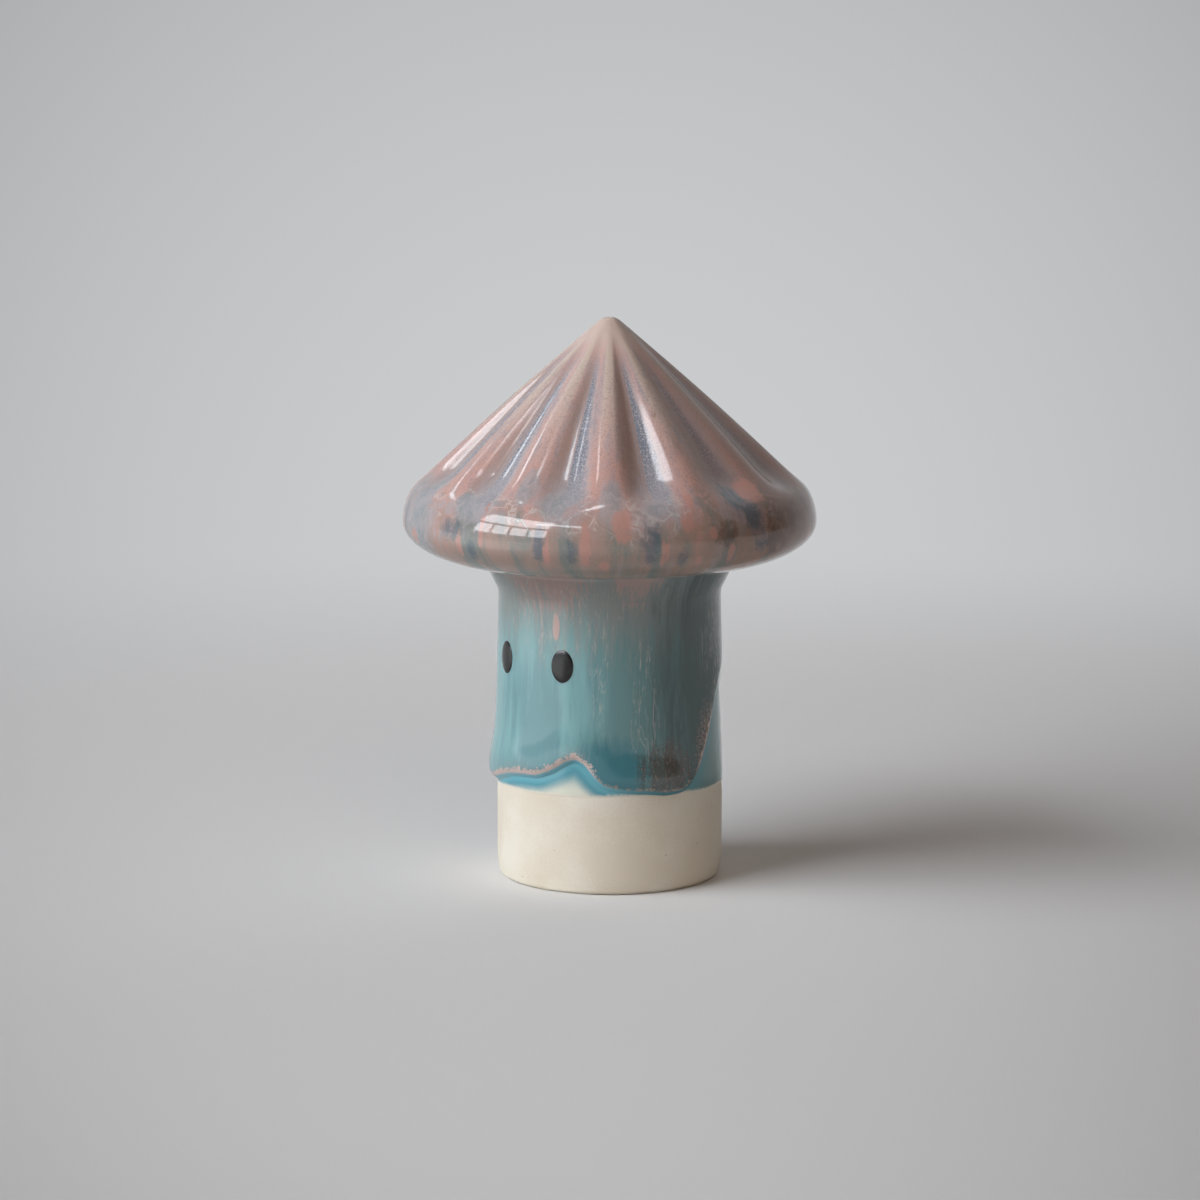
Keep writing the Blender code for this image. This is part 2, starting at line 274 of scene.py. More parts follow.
class Paint(Graph):
    """The node tree of a material."""

    def __init__(self, name: str) -> None:
        """Makes an empty material.

        Args:
            name: Name of the material.
        """
        self.material = bpy.data.materials.new(name)
        self.material.use_nodes = True
        super().__init__(self.material.node_tree)
        self.tree.nodes.clear()

    def place(self) -> Value:
        """Place on the piece, in millimetres."""
        coordinates = self.read(self.node("ShaderNodeTexCoord"), "Object")
        return self.vector_math("MULTIPLY", coordinates, (1.0 / MM, 1.0 / MM, 1.0 / MM))

    def attribute(self, name: str) -> Value:
        """A value that is stored on the piece's points."""
        return self.read(self.node("ShaderNodeAttribute", {"attribute_name": name}), "Fac")

    def around(self, girth: float, along: Value, stretch: float) -> Value:
        """Coordinates for runs and streaks: round the axis, and along the surface.

        Args:
            girth: Radius at which the turn about the axis is laid out.
            along: Way along the surface.
            stretch: How much longer than wide the pattern is.

        Returns:
            A vector in millimetres.
        """
        x, y, _ = self.separate(self.place())
        direction = self.vector_math("NORMALIZE", self.combine(x, y, 0.0))
        dx, dy, _ = self.separate(direction)
        return self.combine(dx * girth, dy * girth, along / stretch)

    def surface(self, colour: Any, roughness: Any, bump: Optional[Value] = None, strength: float = 0.1,
                depth: float = 0.1, **constants: float) -> bpy.types.Material:
        """Ends the tree in a Principled shader.

        Args:
            colour: Base colour, or its socket.
            roughness: Roughness, or its socket.
            bump: Height field for the normal, from 0 to 1.
            strength: Strength of the bump.
            depth: Depth of the bump in millimetres.
            constants: Values for the shader's own sockets, with underscores for spaces.

        Returns:
            The material.
        """
        inputs = {"Base Color": colour, "Roughness": roughness}
        for name, value in constants.items():
            inputs[name.replace("_", " ")] = value
        if bump is not None:
            relief = {"Strength": strength, "Distance": depth * MM, "Height": bump}
            inputs["Normal"] = self.read(self.node("ShaderNodeBump", inputs=relief))
        shader = self.read(self.node("ShaderNodeBsdfPrincipled", inputs=inputs))
        self.node("ShaderNodeOutputMaterial", inputs={"Surface": shader})
        return self.material


class Shape(Graph):
    """A Geometry Nodes tree with named sizes."""

    def __init__(self, name: str) -> None:
        """Makes an empty tree.

        Args:
            name: Name of the tree.
        """
        super().__init__(bpy.data.node_groups.new(name, "GeometryNodeTree"))
        self.tree.interface.new_socket("Geometry", in_out="OUTPUT", socket_type="NodeSocketGeometry")
        self.entry = self.tree.nodes.new("NodeGroupInput")
        self.sizes: dict[str, Union[int, float]] = {}

    def size(self, name: str, value: Union[int, float]) -> Value:
        """Adds a named input with the value that the modifier gives it.

        Args:
            name: Name of the input.
            value: Its value. A whole number makes a whole-number input.

        Returns:
            The input, for use in expressions.
        """
        kind = "NodeSocketInt" if isinstance(value, int) else "NodeSocketFloat"
        item = self.tree.interface.new_socket(name, in_out="INPUT", socket_type=kind)
        self.sizes[item.identifier] = value
        return self.read(self.entry, name)

    def store(self, geometry: Value, name: str, value: Value) -> Value:
        """Stores a value on the points of a geometry."""
        node = self.node("GeometryNodeStoreNamedAttribute", {"data_type": "FLOAT", "domain": "POINT"},
                         {"Geometry": geometry, "Name": name, "Value": value})
        return self.read(node)

    def close(self, geometry: Value, material: bpy.types.Material) -> None:
        """Ends the tree with a plain mesh in a material.

        Args:
            geometry: The finished surface.
            material: Its finish.
        """
        smooth = self.read(self.node("GeometryNodeSetShadeSmooth", inputs={"Geometry": geometry}))
        real = self.read(self.node("GeometryNodeRealizeInstances", inputs={"Geometry": smooth}))
        painted = self.node("GeometryNodeSetMaterial", inputs={"Geometry": real, "Material": material})
        self.node("NodeGroupOutput", inputs={"Geometry": self.read(painted)})

    def make(self, name: str, wall: float) -> bpy.types.Object:
        """Turns the tree into a piece with a plain mesh.

        Args:
            name: Name of the piece.
            wall: Thickness that the surface gets on its inner side, in metres.

        Returns:
            The piece, without modifiers.
        """
        piece = bpy.data.objects.new(name, bpy.data.meshes.new(name))
        bpy.context.scene.collection.objects.link(piece)
        modifier = piece.modifiers.new("shape", "NODES")
        modifier.node_group = self.tree
        for identifier, value in self.sizes.items():
            modifier[identifier] = value
        solidify = piece.modifiers.new("wall", "SOLIDIFY")
        solidify.thickness = wall
        solidify.offset = -1.0
        graph = bpy.context.evaluated_depsgraph_get()
        mesh = bpy.data.meshes.new_from_object(piece.evaluated_get(graph), preserve_all_data_layers=True,
                                               depsgraph=graph)
        piece.modifiers.clear()
        piece.data = mesh
        return piece


def write_field(mesh: bpy.types.Mesh, name: str, values: Array) -> None:
    """Stores a value for each point of a mesh, for its material to read."""
    attribute = mesh.attributes.new(name, "FLOAT", "POINT")
    attribute.data.foreach_set("value", values.astype(np.float32).ravel())


def read_field(mesh: bpy.types.Mesh, name: str) -> Array:
    """Reads a value that is stored for each point of a mesh.

    Args:
        mesh: The mesh.
        name: Name of the field.

    Returns:
        One value for each point.
    """
    values = np.zeros(len(mesh.vertices), np.float32)
    mesh.attributes[name].data.foreach_get("value", values)
    return values.astype(float)


def azimuths(mesh: bpy.types.Mesh) -> Array:
    """Works out the azimuth of each point of a mesh.

    Args:
        mesh: The mesh.

    Returns:
        Azimuths from the viewed side.
    """
    points = np.zeros(len(mesh.vertices) * 3, np.float32)
    mesh.vertices.foreach_get("co", points)
    points = points.astype(float).reshape(-1, 3)
    return turn_between(np.degrees(np.arctan2(points[:, 0], -points[:, 1])), VIEW_AZIMUTH)


def ring_azimuths(turns: int) -> Array:
    """Azimuths of the columns of a ring, from the viewed side, in degrees."""
    return turn_between(np.arange(turns) * 360.0 / turns, VIEW_AZIMUTH)


def ring_mesh(name: str, radius: Array, height: Array) -> bpy.types.Mesh:
    """Makes a closed ring about +Z.

    Args:
        name: Name of the mesh.
        radius: Radii in millimetres. Rows run down the outer side and up the inner one, columns round +Z.
        height: Heights in millimetres, laid out in the same way.

    Returns:
        The mesh, with smooth faces that point outwards.
    """
    rows, turns = radius.shape
    angle = np.arange(turns) * 2.0 * math.pi / turns
    points = np.stack([radius * np.sin(angle), -radius * np.cos(angle), height], axis=-1) * MM
    index = np.arange(rows * turns).reshape(rows, turns)
    below = np.roll(index, -1, axis=0)
    faces = np.stack([index, below, np.roll(below, -1, axis=1), np.roll(index, -1, axis=1)], axis=-1)
    mesh = bpy.data.meshes.new(name)
    mesh.from_pydata(points.reshape(-1, 3).tolist(), [], faces.reshape(-1, 4).tolist())
    mesh.shade_smooth()
    mesh.set_sharp_from_angle(angle=SHARP_ANGLE)
    return mesh


def arc(centre: Point, radius: float, start: float, end: float, steps: int) -> list[Point]:
    """Lays points on an arc in the plane of a section.

    Args:
        centre: Middle of the arc.
        radius: Its radius.
        start: Angle of its first point.
        end: Angle of its last point.
        steps: Number of steps between the two.

    Returns:
        The points, both ends included.
    """
    points = []
    for angle in np.radians(np.linspace(start, end, steps + 1)):
        points.append((centre[0] + radius * math.cos(angle), centre[1] + radius * math.sin(angle)))
    return points


def add_piece(name: str, mesh: bpy.types.Mesh, material: bpy.types.Material) -> bpy.types.Object:
    """Puts a mesh into the scene as a piece of the figurine.

    Args:
        name: Name of the piece.
        mesh: Its mesh.
        material: Its finish.

    Returns:
        The piece.
    """
    mesh.materials.clear()
    mesh.materials.append(material)
    piece = bpy.data.objects.new(name, mesh)
    bpy.context.scene.collection.objects.link(piece)
    return piece


def settle(piece: bpy.types.Object, node: str) -> None:
    """Fixes a piece to the figurine in place of a solid.

    Args:
        piece: The finished piece.
        node: Name of the solid that it stands for.
    """
    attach(piece, BODY)
    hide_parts(node)
    log.info("%s stands for %s, %d faces", piece.name, node, len(piece.data.polygons))


def dress(node: str, material: bpy.types.Material) -> None:
    """Gives a solid that keeps its own shape a finish.

    Args:
        node: Name of the solid.
        material: Its finish.
    """
    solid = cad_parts[node]
    solid.data.materials.clear()
    solid.data.materials.append(material)
    log.info("%s keeps its own shape", node)


@dataclass(frozen=True)
class BareClay:
    """Fired clay without glaze: cream, matt, with fine grain and a few iron specks."""

    pale: Colour = srgb(234, 228, 214)
    warm: Colour = srgb(225, 215, 197)
    speck: Colour = srgb(176, 150, 122)
    grain_size: float = 0.22
    cloud_size: float = 9.0
    speck_spacing: float = 2.4
    speck_edge: Span = (0.075, 0.045)
    speck_share: float = 0.55
    roughness: float = 0.82
    shine: float = 0.25

    def paint(self, name: str) -> bpy.types.Material:
        """Makes the material.

        Args:
            name: Name of the material.

        Returns:
            The material.
        """
        paint = Paint(name)
        place = paint.place()
        clouds = paint.noise(place, 1.0 / self.cloud_size, 3.0)
        grain = paint.noise(place, 1.0 / self.grain_size, 2.0, 0.6)
        speck = paint.step(paint.cells(place, 1.0 / self.speck_spacing), *self.speck_edge)
        tone = paint.step(clouds + grain.sway(0.5), 0.3, 0.7)
        colour = paint.mix(speck * self.speck_share, paint.mix(tone, self.pale, self.warm), self.speck)
        shine = {"Specular_IOR_Level": self.shine}
        return paint.surface(colour, self.roughness, grain, strength=0.25, depth=0.05, **shine)


@dataclass(frozen=True)
class Drop:
    """An oval patch: its azimuth, its way along the surface, half its turn and half its length.

    The way along is the slope from the tip on the cap, and the height above the foot on the stem.
    """

    azimuth: float
    along: float
    half_turn: float
    half_length: float

    def field(self, azimuth: Array, along: Array) -> Array:
        """Is 1 in the middle of the patch, 0 at its edge and at least -1 outside.

        Args:
            azimuth: Azimuths of the points.
            along: Ways of the points along the surface.

        Returns:
            One value for each point.
        """
        aside = turn_between(azimuth, self.azimuth) / self.half_turn
        beyond = (along - self.along) / self.half_length
        return np.maximum(1.0 - aside * aside - beyond * beyond, -1.0)


Patches = dict[str, list[Drop]]


def strongest(drops: Sequence[Drop], azimuth: Array, along: Array) -> Array:
    """The greatest field of several patches at each point.

    Args:
        drops: The patches.
        azimuth: Azimuths of the points.
        along: Ways of the points along the surface.

    Returns:
        One value for each point.
    """
    field = np.full(azimuth.shape, -1.0)
    for drop in drops:
        field = np.maximum(field, drop.field(azimuth, along))
    return field


def write_patches(mesh: bpy.types.Mesh, patches: Patches, azimuth: Array, along: Array) -> None:
    """Stores where the patches of each kind lie on a mesh.

    Args:
        mesh: Mesh of the piece.
        patches: Patches, by the name of the field that they go into.
        azimuth: Azimuths of the mesh's points.
        along: Ways of the points along the surface.
    """
    for name, drops in patches.items():
        write_field(mesh, name, strongest(drops, azimuth, along))


@dataclass(frozen=True)
class RoseGlaze:
    """The reactive glaze of the cap: rose lobes, brown in their lee that is partly the glaze's colour and
    partly painted shade, blue-grey flutes and a mottled rim, with painted shade over the side away from the
    window.

    A span gives the slopes, counted down from the tip, between which one colour gives way to another.
    """

    rose: Colour = srgb(206, 171, 163)
    mauve: Colour = srgb(191, 168, 166)
    beige: Colour = srgb(212, 196, 182)
    tip: Colour = srgb(214, 192, 181)
    salmon: Colour = srgb(204, 156, 144)
    # Brown of the lobes' lee walls: partly the glaze's colour, partly painted shade.
    brown: Colour = srgb(156, 130, 120)
    dusk: Colour = srgb(150, 130, 128)
    # Painted shade for the side of the cap that is turned away from the window.
    painted_shade_tone: Colour = srgb(134, 109, 101)
    flute_blue: Colour = srgb(146, 154, 167)
    flute_pale: Colour = srgb(190, 187, 191)
    flute_dark: Colour = srgb(114, 122, 137)
    lavender: Colour = srgb(176, 169, 173)
    mist: Colour = srgb(142, 153, 158)
    rim_brown: Colour = srgb(170, 145, 134)
    rim_slate: Colour = srgb(132, 136, 132)
    drop: Colour = srgb(196, 148, 137)
    vein: Colour = srgb(206, 199, 197)
    slate: Colour = srgb(84, 106, 122)
    ember: Colour = srgb(100, 76, 67)
    girth: float = 24.0
    cell_size: float = 3.0
    rim_roughness: float = 0.05
    cone_roughness: float = 0.11
    tip_span: Span = (9.0, 4.0)
    ridge_span: Span = (30.0, 9.0)
    smudge_span: Span = (6.0, 13.0)
    salmon_span: Span = (18.0, 34.0)
    flute_start: Span = (7.0, 15.0)
    flute_widening: Span = (10.0, 36.0)
    flute_end: Span = (41.0, 35.0)
    cloud_span: Span = (25.0, 34.0)
    lace_start: Span = (32.0, 36.0)
    lace_end: Span = (42.0, 38.0)
    rim_span: Span = (34.5, 39.5)

    def flutes(self, paint: Paint, colour: Value, slope: Value, streak: Value, fine: Value) -> Value:
        """Adds the brown on the lee walls of the lobes, partly the glaze's colour and partly painted shade,
        and the speckled blue-grey of the flutes.

        Args:
            paint: The material's tree.
            colour: Colour of the lobes.
            slope: Way down the slope.
            streak: Noise that is drawn out down the slope.
            fine: Finer noise of the same kind.

        Returns:
            The colour.
        """
        salt = paint.noise(paint.place(), 4.4, 1.0, 0.5)
        started = paint.step(slope, *self.flute_start)
        ended = paint.step(slope + streak.sway(10.0), *self.flute_end)
        lee = paint.attribute("lee") + streak.sway(0.6) + fine.sway(0.3)
        # Painted shade, partly the glaze's own brown: brown on the lobe walls that face away from the window.
        shaded = paint.step(lee, 0.3, 0.7) * started * ended
        colour = paint.mix(shaded * 0.7, colour, self.brown)
        edge = 0.72 - paint.step(slope, *self.flute_widening) * 0.24
        near = paint.greatest(paint.attribute("lit") - edge, paint.attribute("lee") - 0.84)
        core = near * 6.0 + fine.sway(1.8) + streak.sway(2.6)
        blue = paint.mix(paint.step(salt, 0.4, 0.56), self.flute_dark, self.flute_blue)
        blue = paint.mix(paint.step(salt, 0.55, 0.68), blue, self.flute_pale)
        colour = paint.mix(paint.clamp(core + 0.7) * started * ended * 0.4, colour, self.flute_pale)
        return paint.mix(paint.clamp(core) * started * ended * 0.85, colour, blue)

    def cone(self, paint: Paint, slope: Value, valley: Value, streak: Value, fine: Value) -> Value:
        """Colour of the fluted slope.

        Args:
            paint: The material's tree.
            slope: Way down the slope.
            valley: 1 in the flutes, 0 on the crests.
            streak: Noise that is drawn out down the slope.
            fine: Finer noise of the same kind.

        Returns:
            The colour.
        """
        blotch = paint.noise(paint.place(), 0.2, 3.0, 0.55)
        grain = paint.noise(paint.place(), 3.4, 2.0, 0.65)
        colour = paint.mix(paint.step(streak + blotch.sway(0.6), 0.36, 0.62), self.mauve, self.rose)
        warm = paint.step(slope + blotch.sway(16.0), *self.salmon_span) * paint.step(valley, 0.7, 0.25)
        colour = paint.mix(warm * 0.6, colour, self.salmon)
        ridge = paint.step(paint.attribute("lit") + fine.sway(0.3), 0.5, 0.2) * paint.step(valley, 0.4, 0.1)
        colour = paint.mix(ridge * paint.step(slope, *self.ridge_span) * 0.8, colour, self.beige)
        colour = paint.mix(paint.step(slope + fine.sway(3.0), *self.tip_span), colour, self.tip)
        started = paint.step(slope, *self.smudge_span)
        smudge = paint.noise(paint.warp(paint.around(self.girth, slope, 4.0), 0.3, 4.0), 0.75, 4.0, 0.68)
        smudge = paint.step(smudge + grain.sway(0.3), 0.5, 0.66) * started * (valley * 0.35 + 0.3)
        colour = paint.mix(smudge, colour, self.flute_blue)
        colour = paint.mix(paint.step(grain, 0.5, 0.66) * started * 0.4, colour, self.dusk)
        colour = self.flutes(paint, colour, slope, streak, fine)
        spread = paint.step(valley + fine.sway(0.7) + blotch.sway(0.6), 0.4, 0.9)
        cloud = paint.step(slope + streak.sway(14.0), *self.cloud_span) * spread
        return paint.mix(cloud * 0.6, colour, self.lavender)

    def lace(self, paint: Paint, colour: Value, slope: Value, ragged: Value) -> Value:
        """Adds the torn cells with pale outlines that the runs leave above the rim.

        Args:
            paint: The material's tree.
            colour: Colour below the cells.
            slope: Way down the slope.
            ragged: Uneven shift of the zone's ends.

        Returns:
            The colour.
        """
        place = paint.warp(paint.around(self.girth, slope, 1.1), 0.22, 7.0)
        place = paint.warp(place, 0.9, 1.6)
        cells = {"Vector": place, "Scale": 1.0 / self.cell_size}
        whole = paint.node("ShaderNodeTexVoronoi", inputs=cells)
        tint, chance, _ = paint.separate(paint.read(whole, "Color"))
        edge = paint.read(paint.node("ShaderNodeTexVoronoi", {"feature": "DISTANCE_TO_EDGE"}, cells))
        shifted = slope + ragged * 0.6
        zone = paint.step(shifted, *self.lace_start) * paint.step(shifted, *self.lace_end)
        cell = paint.mix(paint.step(tint, 0.3, 0.45), self.lavender, self.salmon)
        cell = paint.mix(paint.step(tint, 0.5, 0.65), cell, self.mist)
        cell = paint.mix(paint.step(tint, 0.78, 0.9), cell, self.rim_slate)
        filled = zone * paint.step(edge, 0.02, 0.22) * paint.step(chance, 0.2, 0.4)
        colour = paint.mix(filled * 0.6, colour, cell)
        outline = paint.step(edge, 0.08, 0.01) * zone * paint.step(chance, 0.45, 0.7)
        return paint.mix(outline * 0.55, colour, self.vein)

    def rim(self, paint: Paint, slope: Value, streak: Value, fine: Value) -> Value:
        """Colour of the rounded rim, where all the runs end.

        Args:
            paint: The material's tree.
            slope: Way down the slope.
            streak: Noise that is drawn out down the slope.
            fine: Finer noise of the same kind.

        Returns:
            The colour.
        """
        runs = paint.noise(paint.around(self.girth, slope, 9.0), 0.36, 3.0, 0.55, 0.5)
        tone = runs + fine.sway(0.16) + streak.sway(0.2)
        colour = paint.mix(paint.step(tone, 0.55, 0.36), self.rim_brown, self.rim_slate)
        colour = paint.mix(paint.step(tone, 0.56, 0.72) * 0.45, colour, self.drop)
        return paint.mix(paint.step(streak, 0.54, 0.74) * 0.35, colour, self.lavender)

    def paint(self, name: str) -> bpy.types.Material:
        """Makes the material.

        Args:
            name: Name of the material.

        Returns:
            The material.
        """
        paint = Paint(name)
        slope = paint.attribute("slope")
        valley = paint.attribute("valley")
        streak = paint.noise(paint.around(self.girth, slope, 7.0), 0.55, 4.0, 0.55, 0.3)
        fine = paint.noise(paint.around(self.girth, slope, 3.0), 2.4, 3.0, 0.6)
        torn = paint.noise(paint.warp(paint.around(self.girth, slope, 1.5), 0.3, 4.0), 0.9, 4.0, 0.65)
        grain = paint.noise(paint.place(), 4.2, 2.0, 0.65)
        ragged = streak.sway(9.0) + torn.sway(6.0)
        edge = paint.step(slope + ragged - valley * 2.0, *self.rim_span)
        cone = self.cone(paint, slope, valley, streak, fine)
        colour = paint.mix(edge, cone, self.rim(paint, slope, streak, fine))
        colour = self.lace(paint, colour, slope, ragged)
        # Painted shade: darker over the side turned away from the window and on the shaded flank of the lobe
        # in front.
        dark = paint.step(paint.attribute("painted_shades") + torn.sway(0.8), -0.2, 0.9)
        colour = paint.mix(dark * 0.62, colour, self.painted_shade_tone)

        shift = streak.sway(1.4) + torn.sway(1.8)
        haze = paint.step(paint.attribute("hazes") + shift, -0.1, 0.8)
        cloud = paint.mix(paint.step(torn, 0.4, 0.6), self.mist, self.lavender)
        colour = paint.mix(haze * 0.7, colour, cloud)
        pool = paint.step(paint.attribute("pools") + shift * 1.4, -0.3, 1.1)
        colour = paint.mix(pool * 0.7, colour, self.slate)
        burnt = paint.step(paint.attribute("embers") + shift * 2.0, -0.5, 1.2)
        colour = paint.mix(burnt * 0.55, colour, self.ember)
        fall = paint.step(paint.attribute("drops") + shift * 1.2 + fine.sway(0.7), 0.0, 0.7)
        colour = paint.mix(fall * 0.8, colour, self.drop)
        colour = paint.mix(paint.step(grain, 0.62, 0.74) * 0.25, colour, self.vein)
        colour = paint.mix(paint.step(grain, 0.38, 0.27) * 0.3, colour, self.slate)
        dulled = (1.0 - edge) * (self.cone_roughness - self.rim_roughness)
        roughness = dulled * (grain + 0.5) + self.rim_roughness
        relief = streak + fine * 0.5
        return paint.surface(colour, roughness, relief, strength=0.07, depth=0.06, IOR=GLAZE_IOR)


@dataclass(frozen=True)
class LightBlueGlaze:
    """The first glaze of the stem: pale aqua, deeper blue where it pools under the curtain's hem, greyer
    where shade is painted on the side away from the window, and painted light just under the hem.

    Thin and clay spans are counted up from the dip line, pool and painted fill spans down from the hem.
    """

    pale: Colour = srgb(226, 228, 214)
    aqua: Colour = srgb(126, 168, 174)
    deep: Colour = srgb(86, 154, 170)
    # Painted light: a brighter blue just under the hem, partly the glaze's own colour.
    painted_fill_blue: Colour = srgb(106, 176, 190)
    # Painted shade: grey-teal for the side turned away from the window.
    grey: Colour = srgb(106, 146, 148)
    clay: Colour = srgb(232, 225, 210)
    roughness: float = 0.07
    thin_roughness: float = 0.3
    thin_span: Span = (3.6, 0.8)
    clay_span: Span = (0.6, 0.05)
    pool_span: Span = (2.6, 0.7)
    painted_fill_span: Span = (1.1, 0.2)

    def paint(self, name: str) -> bpy.types.Material:
        """Makes the material.

        Args:
            name: Name of the material.

        Returns:
            The material.
        """
        paint = Paint(name)
        below_hem = paint.attribute("below_hem")
        above_dip = paint.attribute("above_dip")
        cloud = paint.noise(paint.place(), 0.35, 3.0)
        fine = paint.noise(paint.place(), 2.2, 3.0)
        # Painted shade: greyer over the side turned away from the window, where the thin pale glaze and the
        # pooled blue are held back.
        painted_shade_mask = paint.step(paint.attribute("painted_shade_side") + cloud.sway(0.4), 0.2, 0.9)
        thin = paint.step(above_dip + cloud.sway(1.4), *self.thin_span)
        colour = paint.mix(thin * (1.0 - painted_shade_mask), paint.mix(painted_shade_mask, self.aqua, self.grey), self.pale)
        pooled = paint.step(below_hem + cloud.sway(0.9), *self.pool_span)
        colour = paint.mix(pooled * (1.0 - painted_shade_mask * 0.5), colour, self.deep)
        # Painted light on the lit side just under the hem, partly the glaze's bright blue and partly lifting
        # the shade of the curtain's roll.
        painted_fill = paint.step(below_hem + fine.sway(0.4), *self.painted_fill_span) * (1.0 - painted_shade_mask)
        colour = paint.mix(painted_fill * 0.8, colour, self.painted_fill_blue)
        edge = paint.step(above_dip + fine.sway(0.4), *self.clay_span)
        colour = paint.mix(edge * 0.9, colour, self.clay)
        roughness = self.thin_roughness * edge + self.roughness
        return paint.surface(colour, roughness, cloud, strength=0.05, depth=0.05, IOR=GLAZE_IOR)


@dataclass(frozen=True)
class TealGlaze:
    """The second glaze of the stem: aqua to teal, pale runs, mauve at the top and a pink line on its hem,
    with painted shade on the side away from the window and painted light on the lip of its hem.

    The shade span is counted up from the foot, the other spans up from the hem.
    """

    aqua: Colour = srgb(128, 174, 177)
    teal: Colour = srgb(109, 152, 157)
    sea: Colour = srgb(70, 126, 138)
    # Painted shade: a darker teal for the side turned away from the window.
    half_shade_teal: Colour = srgb(102, 140, 143)
    shade: Colour = srgb(158, 157, 153)
    # Painted shade: dark grey-teal for the side turned away from the window.
    dusk: Colour = srgb(75, 92, 94)
    mauve: Colour = srgb(184, 156, 149)
    pale: Colour = srgb(196, 194, 188)
    salmon: Colour = srgb(208, 172, 162)
    pink: Colour = srgb(210, 186, 178)
    sand: Colour = srgb(160, 146, 138)
    brown: Colour = srgb(94, 82, 75)
    # Blue of the hem's lip, lightened as painted light against the shade under the roll.
    deep: Colour = srgb(108, 176, 192)
    girth: float = 16.0
    roughness: float = 0.06
    shade_span: Span = (31.0, 43.0)
    sea_span: Span = (5.0, 1.0)
    sand_span: Span = (4.6, 2.0)
    line_span: Span = (1.2, 0.85)
    lip_span: Span = (0.75, 0.45)

    def runs(self, paint: Paint, height: Value, streak: Value, fine: Value) -> Value:
        """Colour of the hanging glaze, without its hem.

        Args:
            paint: The material's tree.
            height: Height above the foot.
            streak: Noise that is drawn out along the stem.
            fine: Finer noise of the same kind.

        Returns:
            The colour.
        """
        wide = paint.noise(paint.around(self.girth, height, 6.0), 0.2, 3.0)
        bent = paint.warp(paint.around(self.girth, height, 9.0), 0.3, 3.0)
        hair = paint.noise(bent, 2.6, 3.0, 0.7, 0.5)
        colour = paint.mix(paint.step(wide + streak.sway(0.4), 0.4, 0.62), self.aqua, self.teal)
        # Painted shade over the side turned away from the window: darker teal, then dark grey-teal.
        lee = paint.attribute("painted_shade_side") + streak.sway(0.5) + hair.sway(0.3)
        colour = paint.mix(paint.step(lee, -0.1, 0.5), colour, self.half_shade_teal)
        low = paint.step(paint.attribute("above_hem") + wide.sway(2.0) + hair.sway(7.0), *self.sea_span)
        colour = paint.mix(low * 0.28, colour, self.sea)
        deep = paint.step(paint.attribute("deeps") + streak.sway(1.2) + fine.sway(0.8), -0.6, 0.8)
        colour = paint.mix(deep * 0.9, colour, self.sea)
        painted_shade_mask = paint.step(lee, 0.55, 1.0)
        colour = paint.mix(painted_shade_mask * 0.9, colour, self.dusk)
        # The pale grey near the top is mostly held back where shade is painted.
        upper = paint.step(height + streak.sway(14.0) + hair.sway(12.0), *self.shade_span)
        colour = paint.mix(upper * (1.0 - painted_shade_mask * 0.85) * 0.8, colour, self.shade)
        patch = paint.step(paint.attribute("crown") + hair.sway(3.0) + fine.sway(1.4), -0.2, 0.6)
        colour = paint.mix(patch * 0.85, colour, self.mauve)
        tear = paint.step(paint.attribute("tears") + fine.sway(0.9), 0.0, 0.5)
        colour = paint.mix(tear * 0.85, colour, self.salmon)
        wavy = paint.warp(paint.around(self.girth, height, 4.0), 0.5, 2.0)
        line = paint.noise(wavy, 0.5, 3.0, 0.6, 0.5) - 0.5
        place = paint.attribute("runs") + fine.sway(1.8) + streak.sway(1.2)
        vein = paint.step(paint.math("ABSOLUTE", line), 0.022, 0.004) * paint.step(place, 0.0, 0.9)
        colour = paint.mix(vein * 0.28, colour, self.pale)
        thread = paint.step(hair + fine.sway(0.3), 0.55, 0.72) * paint.step(place, -0.4, 0.6)
        return paint.mix(thread * 0.42, colour, self.pale)

    def paint(self, name: str) -> bpy.types.Material:
        """Makes the material.

        Args:
            name: Name of the material.

        Returns:
            The material.
        """
        paint = Paint(name)
        above_hem = paint.attribute("above_hem")
        _, _, height = paint.separate(paint.place())
        streak = paint.noise(paint.around(self.girth, height, 9.0), 0.9, 4.0, 0.6, 0.3)
        fine = paint.noise(paint.around(self.girth, height, 4.0), 3.0, 3.0, 0.6)
        grain = paint.noise(paint.place(), 3.4, 3.0, 0.65)
        lumps = paint.noise(paint.place(), 0.9, 3.0, 0.6)
        colour = self.runs(paint, height, streak, fine)

        burnt = paint.step(paint.attribute("scorch") + streak.sway(2.0) + grain.sway(2.6), 0.0, 1.0)
        colour = paint.mix(burnt * 0.75, colour, self.brown)
        specks = paint.noise(paint.around(self.girth, height, 2.2), 3.2, 3.0, 0.7)
        colour = paint.mix(paint.step(specks, 0.54, 0.66) * burnt * 0.55, colour, self.sand)
        blush = paint.attribute("blush") + lumps.sway(1.2)
        grainy = paint.step(grain + blush * 0.06, 0.48, 0.6)
        band = paint.step(above_hem + lumps.sway(5.0), *self.sand_span) * grainy
        band = band * paint.step(blush + paint.attribute("scorch"), -0.6, 0.4)
        colour = paint.mix(band * 0.55, colour, self.sand)
        line = paint.mix(paint.step(blush, -0.3, 0.3), self.sand, self.pink)
        ragged = above_hem + lumps.sway(2.6) + grain.sway(2.4) - blush * 0.3
        colour = paint.mix(paint.step(ragged, *self.line_span) * 0.9, colour, line)
